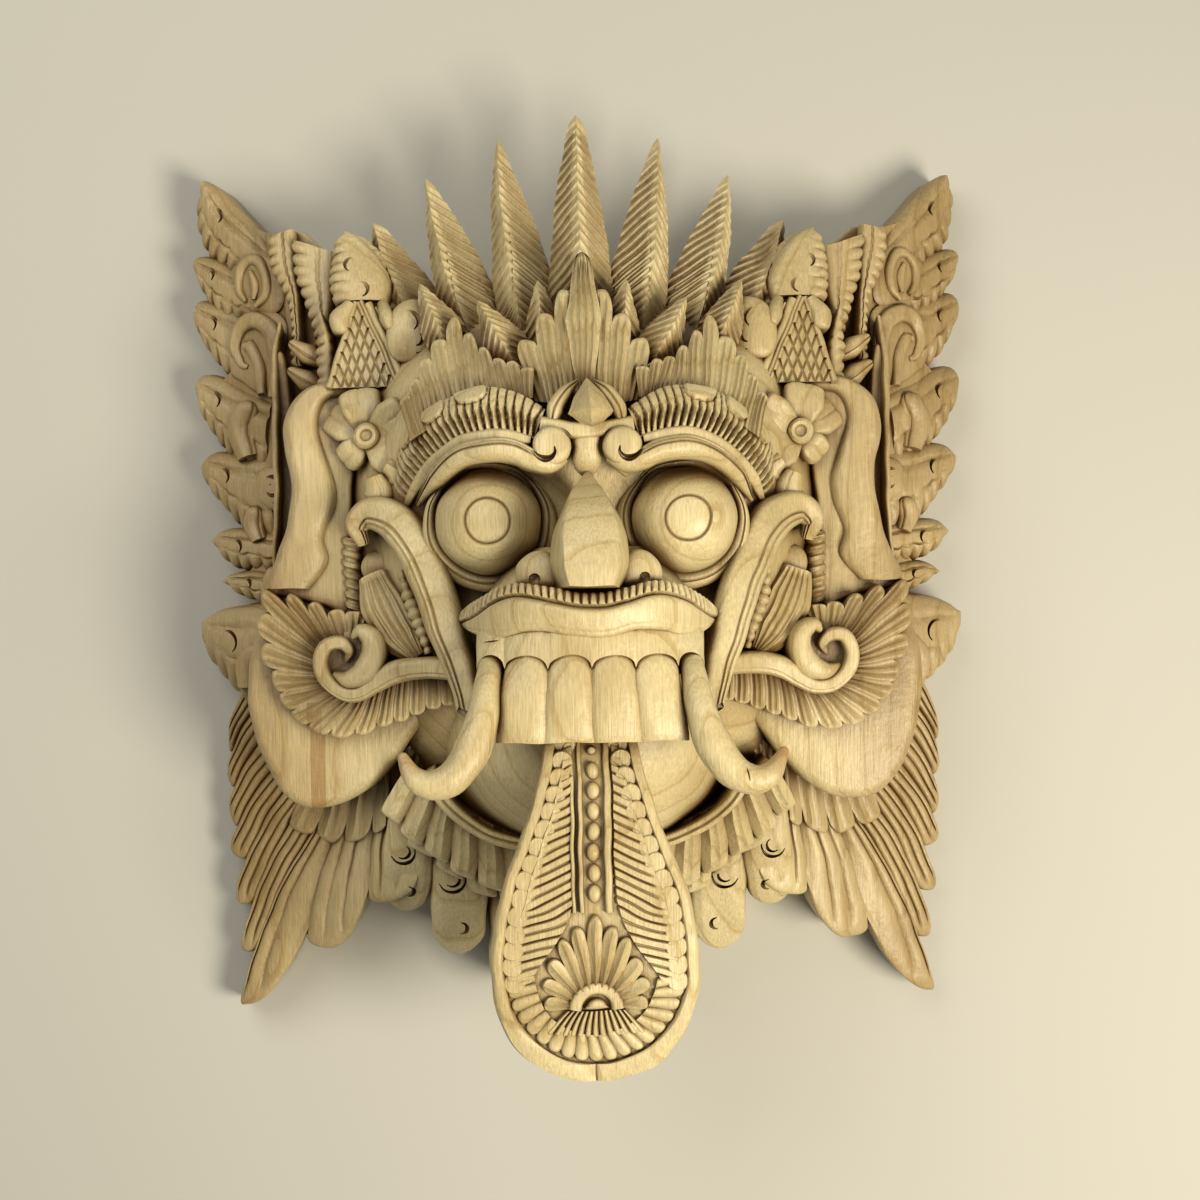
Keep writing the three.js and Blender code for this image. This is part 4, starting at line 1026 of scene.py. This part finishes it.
def edge_band(edges, depth, **rest):
    """A leaf between two edges in the plane of the face, laid on a depth function."""
    return band(*[[[x, y, depth(x, y)] for x, y in edge] for edge in edges], **rest)


def headdress():
    def toothed(depth):
        return lambda s, d, t: depth * (1 - flutes(d / 5)) ** 1.5 * eased(s, 0.2, 0.95)

    def on_gable(lift, line):
        return [[x, y, gable_depth(x, y) + lift] for x, y in line]

    gable_depth = sloped(89, 0, 82, 0, -0.25)
    plane = sloped(76, 98, 120, 0, -0.33)
    tall = edge_band(TALL_LEAF, plane, crown=[5, 5.5, 5, 3], section=soft_edged, across=26, step=0.9,
                     teeth=(5, 1.4), carve=toothed(1.4), floor=20)
    behind = edge_band(TALL_LEAF_BACK, sloped(71, 98, 120, 0, -0.33), crown=[5, 5, 4, 2], section=soft_edged,
                       across=20, step=0.9, teeth=(5.4, 2), carve=toothed(2), floor=20)
    gable = pad(GABLE, gable_depth, bevel=0.6, bottom=20, samples=0)
    disc = button(ROUND_LEAF, lambda x, y: 87 - 0.2 * (y - 100), 5)
    borders = [
        strip(on_gable(-0.6, [[100.5, 122], [106.3, 102], [111.6, 83]]), half=1.5, crown=2, root=14),
        strip(on_gable(-0.6, [[98.6, 122], [89.2, 101], [80, 79]]), half=2.2, crown=2.4, root=14,
              carve=lambda s, d, t, w: 0.8 * knife_cut(s, 0.3), across=16),
        strip(on_gable(-0.6, [[94.8, 121], [85, 100], [75.6, 78]]), half=2.3, crown=2.8, root=14),
        strip(on_gable(-1, [[91, 119], [85, 108], [78, 97]]), half=[1, 2, 2], crown=3, root=14),
    ]
    side_leaf = strip([[113.5, 84, 76], [113, 101, 75], [116.4, 118, 71]],
                      half=([2.6, 3, 1.2], [4.6, 6, 1.4]),
                      crown=4, root=14, teeth=(5, 0.3), across=16, step=0.8, blunt=1.2,
                      carve=lambda s, d, t, w: 1.6 * (1 - flutes(d / 5)) * eased(s, 0, 0.8))
    stubs = [strip([[103, 121, 78], [107, 114, 81], [106, 107, 82]], half=[3, 5, 4], crown=4, blunt=3),
             strip([[88, 120, 78], [86, 114, 84], [84, 108, 86]], half=[3, 3.6, 2], crown=4, blunt=2)]
    columns = [edge_band(edges, sloped(62 - 5 * number, 120, 120, -0.2, -0.05), crown=[3, 4, 4, 3],
                         section=soft_edged, across=26, step=0.8, floor=20, teeth=(4.5, 1.4),
                         carve=lambda s, d, t: 1.6 * (1 - flutes(d / 4.5)) ** 1.3 * eased(s, 0, 0.9)
                         + 1.2 * knife_cut(s + 0.2, 0.12))
               for number, edges in enumerate(COLUMN_LEAVES)]
    low_leaves = [strip([[x, y, 66], [x + 6, y + 3, 67], [x + 14, y + 8, 64]], half=[3.6, 5, 2], crown=4,
                        root=18, blunt=2, across=16, carve=lambda s, d, t, w: 1.2 * knife_cut(s - 0.2, 0.14))
                  for x, y in ((117, 98), (118, 86))]
    return both_sides([tall, behind, gable, disc, *borders, side_leaf, *stubs, *columns, *low_leaves])


def headdress_cuts():
    lattice = []
    for k in range(1, 7):
        low = [mix(GABLE[2][0], GABLE[1][0], k / 7 + 0.02 * math.sin(5 * k)), GABLE[1][1]]
        for far in (between(GABLE[0], GABLE[1], k / 7), between(GABLE[0], GABLE[2], 1 - k / 7)):
            line = [[x, y, 89.2 - 0.25 * (y - 82)] for x, y in (low, far)]
            lattice.append(strip(line, half=0.85, crown=6, root=1.1, flare=0.1, section=soft_edged,
                                 across=4, step=8))
    crescents = [
        crescent([101.8, 139.6], 74.5, 3.4, -60, 170, 1.1, 1.4),
        crescent([98.4, 128], 78.5, 3.6, 60, 190, 1.1, 1.4),
        crescent([77, 112], 88.5, 5, 60, 170, 1.2, 1.5),
        crescent([73, 104], 90, 6.4, 130, 140, 1.2, 1.5),
        crescent([73, 104], 90, 3, 130, 140, 1.1, 1.4),
    ]
    return both_sides([*lattice, *crescents])


# %% Wings
CURL_WAVE = [[140, 86], [136.6, 101.9], [134.6, 115.6], [138.4, 122.5], [146.9, 125.6], [155.1, 124],
             [161.8, 118.6], [165.2, 111.2], [165.4, 103.2], [162.7, 96], [157.7, 92.6], [150, 87]]
CURL_BUD = [[161.4, 147], [156.7, 151], [149.5, 153], [143.5, 150.4], [138.6, 143], [136, 132], [138.9, 124],
            [149, 122.6], [158, 125.6], [162.4, 134], [163.4, 141.7]]
CURL_BAND = [[141, 84], [139.5, 100], [142, 114], [150, 120], [157.5, 117.5], [160.5, 109], [158, 101],
             [154.5, 99]]
CURL_PETAL = [[147.5, 86], [148.5, 98], [152.5, 108], [156, 108.5]]
EGG_BAND = [[149.6, 127], [145.4, 132], [144.8, 140], [148, 147.2], [153.4, 148.4], [157.8, 143],
            [158.4, 135], [154.6, 128.6]]
EGG_PETAL = [[151, 130], [150.4, 137], [152.6, 143.6]]
SMALL_CURL = [[152, 44], [150, 50], [144, 52.4], [138, 50.6], [134, 44], [135, 36], [141, 31.6], [148, 33.4],
              [152, 38]]


def over_wing(rise):
    """A depth function that stands above the wing's board."""
    return lambda x, y: wing_depth(x) + rise


def toothed_leaf(upper, lower, height, crown=6.5, pitch=6.5, bite=1.5):
    """A broad leaf between two edges: rolled along the upper one, toothed along the lower."""
    def carve(s, d, t):
        ramp = eased(s, 0.0, 0.95)
        valley = 2.2 * (1 - flutes(d / pitch)) ** 1.4 * ramp
        roll = 1.5 * knife_cut(s + 0.55 - 0.2 * t, 0.13) * (1 - eased(t, 0.6, 0.85))
        vein = 1.2 * knife_cut(s - 0.05 - 0.3 * (1 - t), 0.08) * (1 - eased(t, 0.45, 0.75))
        return valley + roll + vein

    edges = [[[x, y, height(x) - 2.5] for x, y in edge] for edge in (upper, lower)]
    return band(*edges, crown=[crown * 0.8, crown, crown, crown * 0.75], section=rounded, carve=carve,
                step=1.0, across=26, floor=0.6, teeth=(pitch, bite))


def wings():
    def raised(line, rise):
        return [[x, y, wing_depth(x) + rise] for x, y in line]

    parts = [toothed_leaf(upper, lower, wing_depth) for upper, lower in WING_LEAVES]
    parts += [button(outline, over_wing(1), rise) for outline, rise in
              ((CURL_WAVE, 3), (CURL_BUD, 3), (SMALL_CURL, 5))]
    parts += [
        strip(raised(CURL_BAND, 3), half=[3.5, 4.2, 4.6, 4.4, 4, 3.2, 2.2, 1.2], root=8, across=16,
              crown=[3, 4, 4.4, 4.4, 4, 3.4, 2.6, 1.4], section=soft_edged),
        strip(raised(CURL_PETAL, 3), half=[2.5, 3.4, 3.6, 2], crown=3.4, root=8, blunt=1.5),
        strip(raised(EGG_BAND, 3), half=[1.4, 2.6, 2.8, 2.8, 2.8, 2.8, 2.4, 1.2], crown=3, root=8),
        strip(raised(EGG_PETAL, 3), half=[1.4, 2.8, 1.4], crown=2.6, root=8, blunt=1.2),
    ]
    petals = [([155, 57], [158, 70], [153, 83], 7.2), ([150, 18], [153, 26], [151, 34], 5.2),
              ([158, -50], [157, -40], [150, -31], 6), ([143, -7], [144, -1], [142, 6], 4.4)]
    for root, middle, tip, half in petals:
        parts.append(strip(raised((root, middle, tip), 2.6), half=[half * 0.7, half, half * 0.8], crown=4,
                           root=9, blunt=half * 0.8, across=18,
                           carve=lambda s, d, t, w: 1.0 * knife_cut(s + 0.45, 0.14)))
    stem = strip([[x, y, z] for x, y, z in ([137, 116, 56], [139, 100, 60], [138.6, 84, 64], [138, 60, 68],
                                            [138, 30, 68], [140, 4, 66])],
                 half=[1, 1.5, 1.6, 1.6, 1.4, 1], crown=2, root=24)
    return both_sides([*parts, stem])


def wing_cuts():
    turns = 14
    spiral = [[*polar([143.5, 42], 250 + 560 * k / turns, mix(7.4, 1.6, k / turns)), wing_depth(144) + 6]
              for k in range(turns + 1)]
    cuts = [gouge(spiral, 1.3, 2.4)]
    for upper, lower in WING_LEAVES:
        high_edge, low_edge = (smooth_line([[*p, 0] for p in edge])[0] for edge in (upper, lower))
        at = round(0.58 * (len(high_edge) - 1))
        x, y = between(high_edge[at][:2], low_edge[at][:2], 0.5)
        size = 0.17 * float(np.linalg.norm(high_edge[at] - low_edge[at]))
        cuts.append(crescent([x, y], wing_depth(x) + 4.2, max(size, 1.8), 70, 160, 1.1, 1.4))
    return both_sides(cuts)


head_piece = carved("headdress", headdress(), headdress_cuts())
wing_piece = carved("wings", wings(), wing_cuts())

# %% [markdown]
# ## Tail feathers
# Long feathers sweep down and outwards below the lobes. They are reeded: narrow round ribs with a thin
# dark valley between them. Round leaves with crescent cuts hang beside the chin.

# %% Tail and bottom leaves
BOTTOM_LEAVES = [
    {"root": [79, -104], "tip": [85, -154], "half": 12, "height": 60},
    {"root": [58, -112], "tip": [61, -175], "half": 13.5, "height": 56},
    {"root": [30, -116], "tip": [34, -197], "half": 15, "height": 46},
]


def tail():
    feathers = fan(TAIL_FEET, TAIL_TIPS, lambda x, y: tail_depth(x) + 1, rise=5, cuts=3, cut=reeds,
                   groove=1.9, bow=0.06, blunt=2.2, notch=0.1, gap=0.35, rows=26)
    hidden = fan([[128, -92], [112, -97], [92, -88], [80, -76]],
                 [[134, -118], [120, -122], [106, -121], [94, -116], [86, -106]],
                 lambda x, y: tail_depth(x) + 5, rise=5, cuts=3, groove=1.2, notch=0.25, gap=0.7)
    leaves = []
    for leaf in BOTTOM_LEAVES:
        root, tip, half, z = leaf["root"], leaf["tip"], leaf["half"], leaf["height"]
        leaves.append(strip([[*root, z], [*between(root, tip, 0.5), z - 5], [*tip, z - 16]],
                            half=[half * 0.9, half, half * 0.95, half * 0.85], crown=[4, 5, 4, 3],
                            floor=0.6, blunt=half * 0.9, across=24, section=soft_edged,
                            carve=lambda s, d, t, w: 0.8 * knife_cut(np.abs(s) - 0.78, 0.08)))
    return both_sides([*feathers, *hidden, *leaves])


def tail_cuts():
    cuts = []
    for leaf in BOTTOM_LEAVES:
        root, tip, half, height = leaf["root"], leaf["tip"], leaf["half"], leaf["height"]
        for share, side, size, start in ((0.42, 0.25, 0.42, 150), (0.42, 0.25, 0.22, 120),
                                         (0.8, -0.1, 0.16, 90)):
            x, y = between(root, tip, share)
            z = mix(height, height - 14, share) + 2.4
            cuts.append(crescent([x + side * half, y], z, size * half + 0.6, start, 190, 1.2, 1.6))
    return both_sides(cuts)


tail_piece = carved("tail_feathers", tail(), tail_cuts())

# %% [markdown]
# ## Tongue
# The tongue hangs free of the chin. A smooth rim runs round it with a row of scales inside, and two panels
# of herringbone cuts lie either side of two rails and a string of beads. Near its end a palmette of flames
# stands on a half disc over a comb of small leaves, with a row of petals below it along the rim.

# %% Tongue
TONGUE = [[-48, 17, 132], [-70, 19, 146], [-92, 24, 153], [-112, 31, 156], [-130, 38, 157.5],
          [-150, 42, 157], [-170, 42.5, 154.5], [-186, 38.5, 151.5], [-198, 31, 149], [-206, 20, 147.5],
          [-209.6, 7, 146.5]]
TONGUE_LINE = smooth_line(TONGUE, samples=8)[0]
RIM_RISE = 3.2
SUN = [0, -178.8]
SUN_CENTRE = -165.0
FIELD = 37.4


def tongue_row(y):
    """Half width and depth of the tongue at a height."""
    return [float(np.interp(-y, -TONGUE_LINE[:, 0], TONGUE_LINE[:, k])) for k in (1, 2)]


def tongue_inner(y):
    """Half width of the carved field inside the tongue's rim."""
    if y < SUN_CENTRE:
        return math.sqrt(max(FIELD**2 - (SUN_CENTRE - y) ** 2, 0.04))
    return tongue_row(y)[0] - mix(4.2, 5, min(1, max(0, (-60 - y) / 100)))


def tongue_plate():
    """The tongue's rounded slab, with its field sunk inside a raised rim."""
    heights = [*np.arange(-48, SUN_CENTRE, -2.5),
               *(SUN_CENTRE - FIELD * np.sin(np.linspace(0, math.pi / 2, 22))),
               *np.linspace(SUN_CENTRE - FIELD - 0.3, TONGUE[-1][0], 7)]
    rings = []
    for y in heights:
        half, z = tongue_row(y)
        inner = tongue_inner(y) if y >= SUN_CENTRE - FIELD else 0.04
        sunk = RIM_RISE if inner > 0.1 else 0
        edge = [(-0.93 * half, -14), (-0.98 * half, -10), (-half, -4), (-0.995 * half, -0.4),
                (-0.97 * half, 1.3), (-mix(half, inner, 0.45), 1.9), (-mix(half, inner, 0.9), 1.7),
                (-inner, 1.1), (-inner * 0.97, 1.9 - sunk)]
        rings.append([[x, y, z + h] for x, h in (*edge, (0, 1.9 - sunk), *[(-x, h) for x, h in edge[::-1]])])
    return loft(rings)


def tongue_scales():
    """Half-round scales that give the panels a scalloped edge, with a dark gap against the rim."""
    scales = []
    for k in range(15):
        y = -71 - 6.9 * k
        x, z = tongue_inner(y) - 4, tongue_row(y)[1] - 1.1
        scales.append(turned([(4.5, -4), (4.5, 1.2), (4, 1.8), (0.1, 1.9)], x, y, z, segments=24))
    return both_sides(scales)


def tongue_panels():
    heights = [-60, -78, -96, -114, -132, -140, -147, -154, -161, -168]
    inner = [8.2, 8.2, 8.2, 8.2, 8.2, 8.6, 12, 17, 22, 26.5]
    outer = [tongue_inner(y) - 4 for y in heights]
    line = [[(a + b) / 2, y, tongue_row(y)[1] - 1.6] for a, b, y in zip(inner, outer, heights)]
    halves = [max((b - a) / 2, 0.6) for a, b in zip(inner, outer)]
    panel = strip(line, half=halves, crown=2.6, section=lambda s: np.minimum(1, 8 * (1 - np.abs(s))),
                  root=4, step=0.4, across=16, slant=-0.7,
                  carve=lambda s, d, t, w: 1.5 * knife_cut((d / 4.2) % 1 - 0.5, 0.2) * eased(s, -0.9, -0.45))
    return both_sides([panel])


def tongue():
    rails = [strip([[x, y, tongue_row(y)[1] - 1.4] for y in (-60, -100, -139)], half=half, crown=3.4, root=5,
                   across=10, section=soft_edged) for x, half in ((-5.4, 1.15), (-8.6, 0.95), (5.8, 1.8))]
    beads = [turned([(1.9, -4), (1.9, 1.8), (1.3, 2.8), (0.1, 3)], 0, -73.5, tongue_row(-73.5)[1] - 1.4)]
    for k in range(7):
        y = -82 - 8.2 * k
        z = tongue_row(y)[1] - 1.4
        outline = [[2.8 * math.cos(a), y + 3.9 * math.sin(a)] for a in np.linspace(0, 2 * math.pi, 9)[:-1]]
        beads.append(button(outline, lambda px, py, z=z: z, 3.2, floor=z - 4))
    flames = fan([polar(SUN, degrees, 10) for degrees in (0, 45, 90, 135, 180)],
                 [polar(SUN, degrees, reach) for degrees, reach in (
                     (8, 21.5), (26, 24.5), (47, 27.5), (65, 32.6), (77, 35), (90, 39), (103, 35),
                     (115, 32.6), (133, 27.5), (154, 24.5), (172, 21.5))],
                 lambda x, y: tongue_row(y)[1] + 1.2, rise=4, cuts=2, floor=145, notch=0.26, gap=0.6, blunt=2,
                 groove=1.2)
    comb = fan([[-12, SUN[1] - 0.8], [0, SUN[1] - 0.8], [12, SUN[1] - 0.8]],
               [[x, -190.8 + 0.004 * x * x] for x in np.linspace(-19.6, 19.6, 13)],
               lambda x, y: tongue_row(y)[1] + 1, rise=3, cuts=1, groove=0.6, floor=143, notch=0.05, gap=0.9)
    centre = [0, SUN_CENTRE]
    petals = fan([polar(centre, degrees, 25) for degrees in range(176, 365, 12)],
                 [polar(centre, degrees, 36.6) for degrees in np.linspace(181, 359, 19)],
                 lambda x, y: tongue_row(max(y, -205))[1] + 0.2, rise=3, cuts=1, groove=0.3, floor=142,
                 notch=0.16, gap=0.6, blunt=2.4)
    z = tongue_row(SUN[1])[1]
    ring = scroll(SUN, z - 1, [8.8], 0, 180, half=3, crown=4.6, section=soft_edged, root=6, across=14)
    core = button([polar(SUN, degrees, 4.6) for degrees in range(0, 181, 20)], lambda x, y: z - 1, 4,
                  floor=z - 7)
    return [tongue_plate(), *rails, *beads, *petals, *comb, *flames, ring, core, *tongue_scales(),
            *tongue_panels()]


tongue_piece = carved("tongue", tongue())

# %% [markdown]
# ## Bare carved wood
# The mask is bare, pale, soft hardwood, cut with gouges and knives and left without paint. Fresh faces are
# straw-coloured, the bottoms of the cuts are painted brown as shade, and the year rings show as soft stripes
# where a smooth face cuts through them. The wood has a low, broad sheen.


# %% Colours and nodes
def linear(hex_code):
    """A linear colour from an sRGB hex code."""
    channels = [int(hex_code[i:i + 2], 16) / 255 for i in (1, 3, 5)]
    return [c / 12.92 if c <= 0.04045 else ((c + 0.055) / 1.055) ** 2.4 for c in channels] + [1.0]


def add_node(tree, kind, settings=None, **inputs):
    """Adds a node. Inputs are values, or output sockets that are linked. Names use _ for spaces."""
    node = tree.nodes.new(kind)
    for name, value in (settings or {}).items():
        setattr(node, name, value)
    for name, value in inputs.items():
        socket = node.inputs[int(name[1:])] if name[0] == "i" and name[1:].isdigit() else node.inputs[
            name.replace("_", " ")]
        if isinstance(value, bpy.types.NodeSocket):
            tree.links.new(value, socket)
        else:
            socket.default_value = value
    return node


# %% The wood
# The heartwood streak's middle and reach on each axis, and the end of a tusk, in metres.
HEARTWOOD = (("X", -0.1201, 0.0033), ("Y", -0.081, 0.026), ("Z", 0.08, 0.012))
TUSK_TIP = (0.0765, -0.0714, 0.175)


def carved_pale_wood():
    material = bpy.data.materials.new("bare_pale_carved_wood")
    material.use_nodes = True
    tree = material.node_tree
    tree.nodes.clear()
    where = add_node(tree, "ShaderNodeTexCoord").outputs["Object"]

    # The trunk ran up the face, so the rings are long cylinders along Y, about 8 mm apart.
    wander = add_node(tree, "ShaderNodeTexNoise", Vector=where, Scale=9.0, Detail=2.0)
    bent = add_node(tree, "ShaderNodeVectorMath", {"operation": "MULTIPLY_ADD"}, i0=wander.outputs["Color"],
                    i1=(0.012, 0.0, 0.012), i2=where)
    placed = add_node(tree, "ShaderNodeMapping", Vector=bent.outputs[0])
    placed.inputs["Location"].default_value = (0.05, 0, 0.12)
    placed.inputs["Scale"].default_value = (1, 0.06, 1)
    rings = add_node(tree, "ShaderNodeTexWave", {"wave_type": "RINGS", "rings_direction": "Y",
                                                 "wave_profile": "SAW"},
                     Vector=placed.outputs[0], Scale=40.0, Distortion=1.2, Detail=2.0, Detail_Scale=1.5)
    ring_tone = add_node(tree, "ShaderNodeValToRGB", Fac=rings.outputs["Fac"])
    ramp = ring_tone.color_ramp
    ramp.elements[0].position, ramp.elements[0].color = 0.0, linear("#cfbf90")
    ramp.elements[1].position, ramp.elements[1].color = 1.0, linear("#bda872")
    late = ramp.elements.new(0.82)
    late.color = linear("#d7c89b")

    # Fine fibres, 0.4 mm wide and a few centimetres long.
    stretched = add_node(tree, "ShaderNodeMapping", Vector=where)
    stretched.inputs["Scale"].default_value = (1, 0.05, 1)
    fibres = add_node(tree, "ShaderNodeTexNoise", Vector=stretched.outputs[0], Scale=1300.0, Detail=3.0,
                      Roughness=0.6)
    patches = add_node(tree, "ShaderNodeTexNoise", Vector=where, Scale=16.0, Detail=3.0)
    patch_tone = add_node(tree, "ShaderNodeValToRGB", Fac=patches.outputs["Fac"])
    patch_ramp = patch_tone.color_ramp
    patch_ramp.elements[0].position, patch_ramp.elements[0].color = 0.35, linear("#b5a070")
    patch_ramp.elements[1].position, patch_ramp.elements[1].color = 0.65, linear("#ffffff")
    toned = add_node(tree, "ShaderNodeMix", {"data_type": "RGBA", "blend_type": "MULTIPLY"}, i0=0.5,
                     i6=ring_tone.outputs["Color"], i7=patch_tone.outputs["Color"])
    fibre_tone = add_node(tree, "ShaderNodeMapRange", Value=fibres.outputs["Fac"], i1=0.3, i2=0.7, i3=0.78,
                          i4=1.1)
    fibred = add_node(tree, "ShaderNodeVectorMath", {"operation": "SCALE"}, i0=toned.outputs[2],
                      Scale=fibre_tone.outputs[0])

    # One brown streak of heartwood, 6.6 mm wide, runs down the front of a lobe. Towards the outer edges, over
    # the ears and the outer leaves, the colour is painted darker as shade where the light falls off, with a
    # browner tone, and the tips of the tusks have gone brown.
    place = add_node(tree, "ShaderNodeSeparateXYZ", i0=where)
    streak = None
    for axis, middle, reach in HEARTWOOD:
        inside = add_node(tree, "ShaderNodeMath", {"operation": "COMPARE"}, i0=place.outputs[axis], i1=middle,
                          i2=reach).outputs[0]
        streak = inside if streak is None else add_node(
            tree, "ShaderNodeMath", {"operation": "MULTIPLY"}, i0=streak, i1=inside).outputs[0]
    streak = add_node(tree, "ShaderNodeMath", {"operation": "MULTIPLY"}, i0=streak, i1=0.6)
    streaked = add_node(tree, "ShaderNodeMix", {"data_type": "RGBA"}, i0=streak.outputs[0],
                        i6=fibred.outputs[0], i7=linear("#95723a"))
    # Painted shade with a browner tone: the colour darkens from 85 mm out to 145 mm either side of the
    # middle.
    outward = add_node(tree, "ShaderNodeMath", {"operation": "ABSOLUTE"}, i0=place.outputs["X"])
    outer_shade_and_tone = add_node(tree, "ShaderNodeMapRange", Value=outward.outputs[0], i1=0.085, i2=0.145, i3=0.0,
                       i4=0.75)
    outer_shaded_and_toned = add_node(tree, "ShaderNodeMix", {"data_type": "RGBA", "blend_type": "MULTIPLY"},
                       i0=outer_shade_and_tone.outputs[0], i6=streaked.outputs[2], i7=linear("#c6b5a0"))
    folded = add_node(tree, "ShaderNodeCombineXYZ", X=outward.outputs[0], Y=place.outputs["Y"],
                      Z=place.outputs["Z"])
    from_tip = add_node(tree, "ShaderNodeVectorMath", {"operation": "DISTANCE"}, i0=folded.outputs[0],
                        i1=TUSK_TIP)
    near_tip = add_node(tree, "ShaderNodeMapRange", Value=from_tip.outputs["Value"], i1=0.004, i2=0.014,
                        i3=0.5, i4=0.0)
    tipped = add_node(tree, "ShaderNodeMix", {"data_type": "RGBA"}, i0=near_tip.outputs[0],
                      i6=outer_shaded_and_toned.outputs[2], i7=linear("#8a5a34"))

    # Painted shade: brown in the bottoms of the cuts and in recesses, darker where the wood closes round
    # them.
    hollow = add_node(tree, "ShaderNodeAmbientOcclusion", {"samples": 6}, Distance=0.012)
    closed = add_node(tree, "ShaderNodeMapRange", Value=hollow.outputs["AO"], i1=0.25, i2=0.85, i3=1.0,
                      i4=0.0)
    crevice_shaded = add_node(tree, "ShaderNodeMix", {"data_type": "RGBA", "blend_type": "MIX"},
                       i0=closed.outputs[0], i6=tipped.outputs[2], i7=linear("#5a3a10"))

    marks = add_node(tree, "ShaderNodeTexNoise", Vector=where, Scale=260.0, Detail=2.0)
    fine = add_node(tree, "ShaderNodeBump", Strength=0.6, Distance=0.0004, Height=fibres.outputs["Fac"])
    tooled = add_node(tree, "ShaderNodeBump", Strength=0.45, Distance=0.0009, Height=marks.outputs["Fac"],
                      Normal=fine.outputs[0])
    shader = add_node(tree, "ShaderNodeBsdfPrincipled", Base_Color=crevice_shaded.outputs[2], Roughness=0.42,
                      IOR=1.5, Normal=tooled.outputs[0])
    add_node(tree, "ShaderNodeOutputMaterial", Surface=shader.outputs[0])
    return material


wood = carved_pale_wood()
pieces = [block, crown, fans, brow_piece, mouth_piece, cheek_piece, ear_piece, head_piece, wing_piece,
          tail_piece, tongue_piece]
for piece in pieces:
    piece.data.materials.clear()
    piece.data.materials.append(wood)
    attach(piece, "root")
    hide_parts("mask")

# %% [markdown]
# ## Floor, light and camera
# The mask lies on its back on a plain pale floor, and the camera looks down on it. One large soft light
# stands on the right, a little below the face, as in the photograph, with a weaker fill from above left.


# %% Floor and lights
def pale_floor():
    size = 2.5
    mesh = bpy.data.meshes.new("floor")
    mesh.from_pydata([(-size, -size, 0), (size, -size, 0), (size, size, 0), (-size, size, 0)], [],
                     [(0, 1, 2, 3)])
    floor = bpy.data.objects.new("floor", mesh)
    bpy.context.scene.collection.objects.link(floor)
    material = bpy.data.materials.new("matt_pale_floor")
    material.use_nodes = True
    shader = material.node_tree.nodes["Principled BSDF"]
    shader.inputs["Base Color"].default_value = linear("#b9b7ae")
    shader.inputs["Roughness"].default_value = 0.9
    mesh.materials.append(material)
    floor.location.z = -0.001


def area_light(name, place, size, power, colour):
    light = bpy.data.lights.new(name, "AREA")
    light.shape = "DISK"
    light.size = size
    light.energy = power
    light.color = linear(colour)[:3]
    lamp = bpy.data.objects.new(name, light)
    lamp.location = place
    lamp.rotation_euler = (-lamp.location).to_track_quat("-Z", "Y").to_euler()
    bpy.context.scene.collection.objects.link(lamp)


pale_floor()
area_light("key", (0.6, -0.36, 0.98), 0.5, 16, "#fff4dd")
area_light("fill", (-0.55, 0.55, 1.0), 0.9, 8.5, "#fbf6ea")
world = bpy.data.worlds.new("studio")
world.use_nodes = True
world.node_tree.nodes["Background"].inputs["Color"].default_value = linear("#dbdad6")
world.node_tree.nodes["Background"].inputs["Strength"].default_value = 0.32
bpy.context.scene.world = world
bpy.context.scene.view_settings.view_transform = "Standard"

# %% Camera
CAMERA_PLACE = (-0.019, -0.012, 0.950)
CAMERA_YAW = -0.02914
CAMERA_ROLL = math.radians(-0.9)
camera_data = bpy.data.cameras.new("camera")
camera_data.sensor_width = 36
camera_data.lens = 58.56
camera = bpy.data.objects.new("camera", camera_data)
turn = Euler((0, CAMERA_YAW, 0)).to_matrix() @ Matrix.Rotation(CAMERA_ROLL, 3, "Z")
camera.matrix_world = Matrix.Translation(CAMERA_PLACE) @ turn.to_4x4()
bpy.context.scene.collection.objects.link(camera)
bpy.context.scene.camera = camera
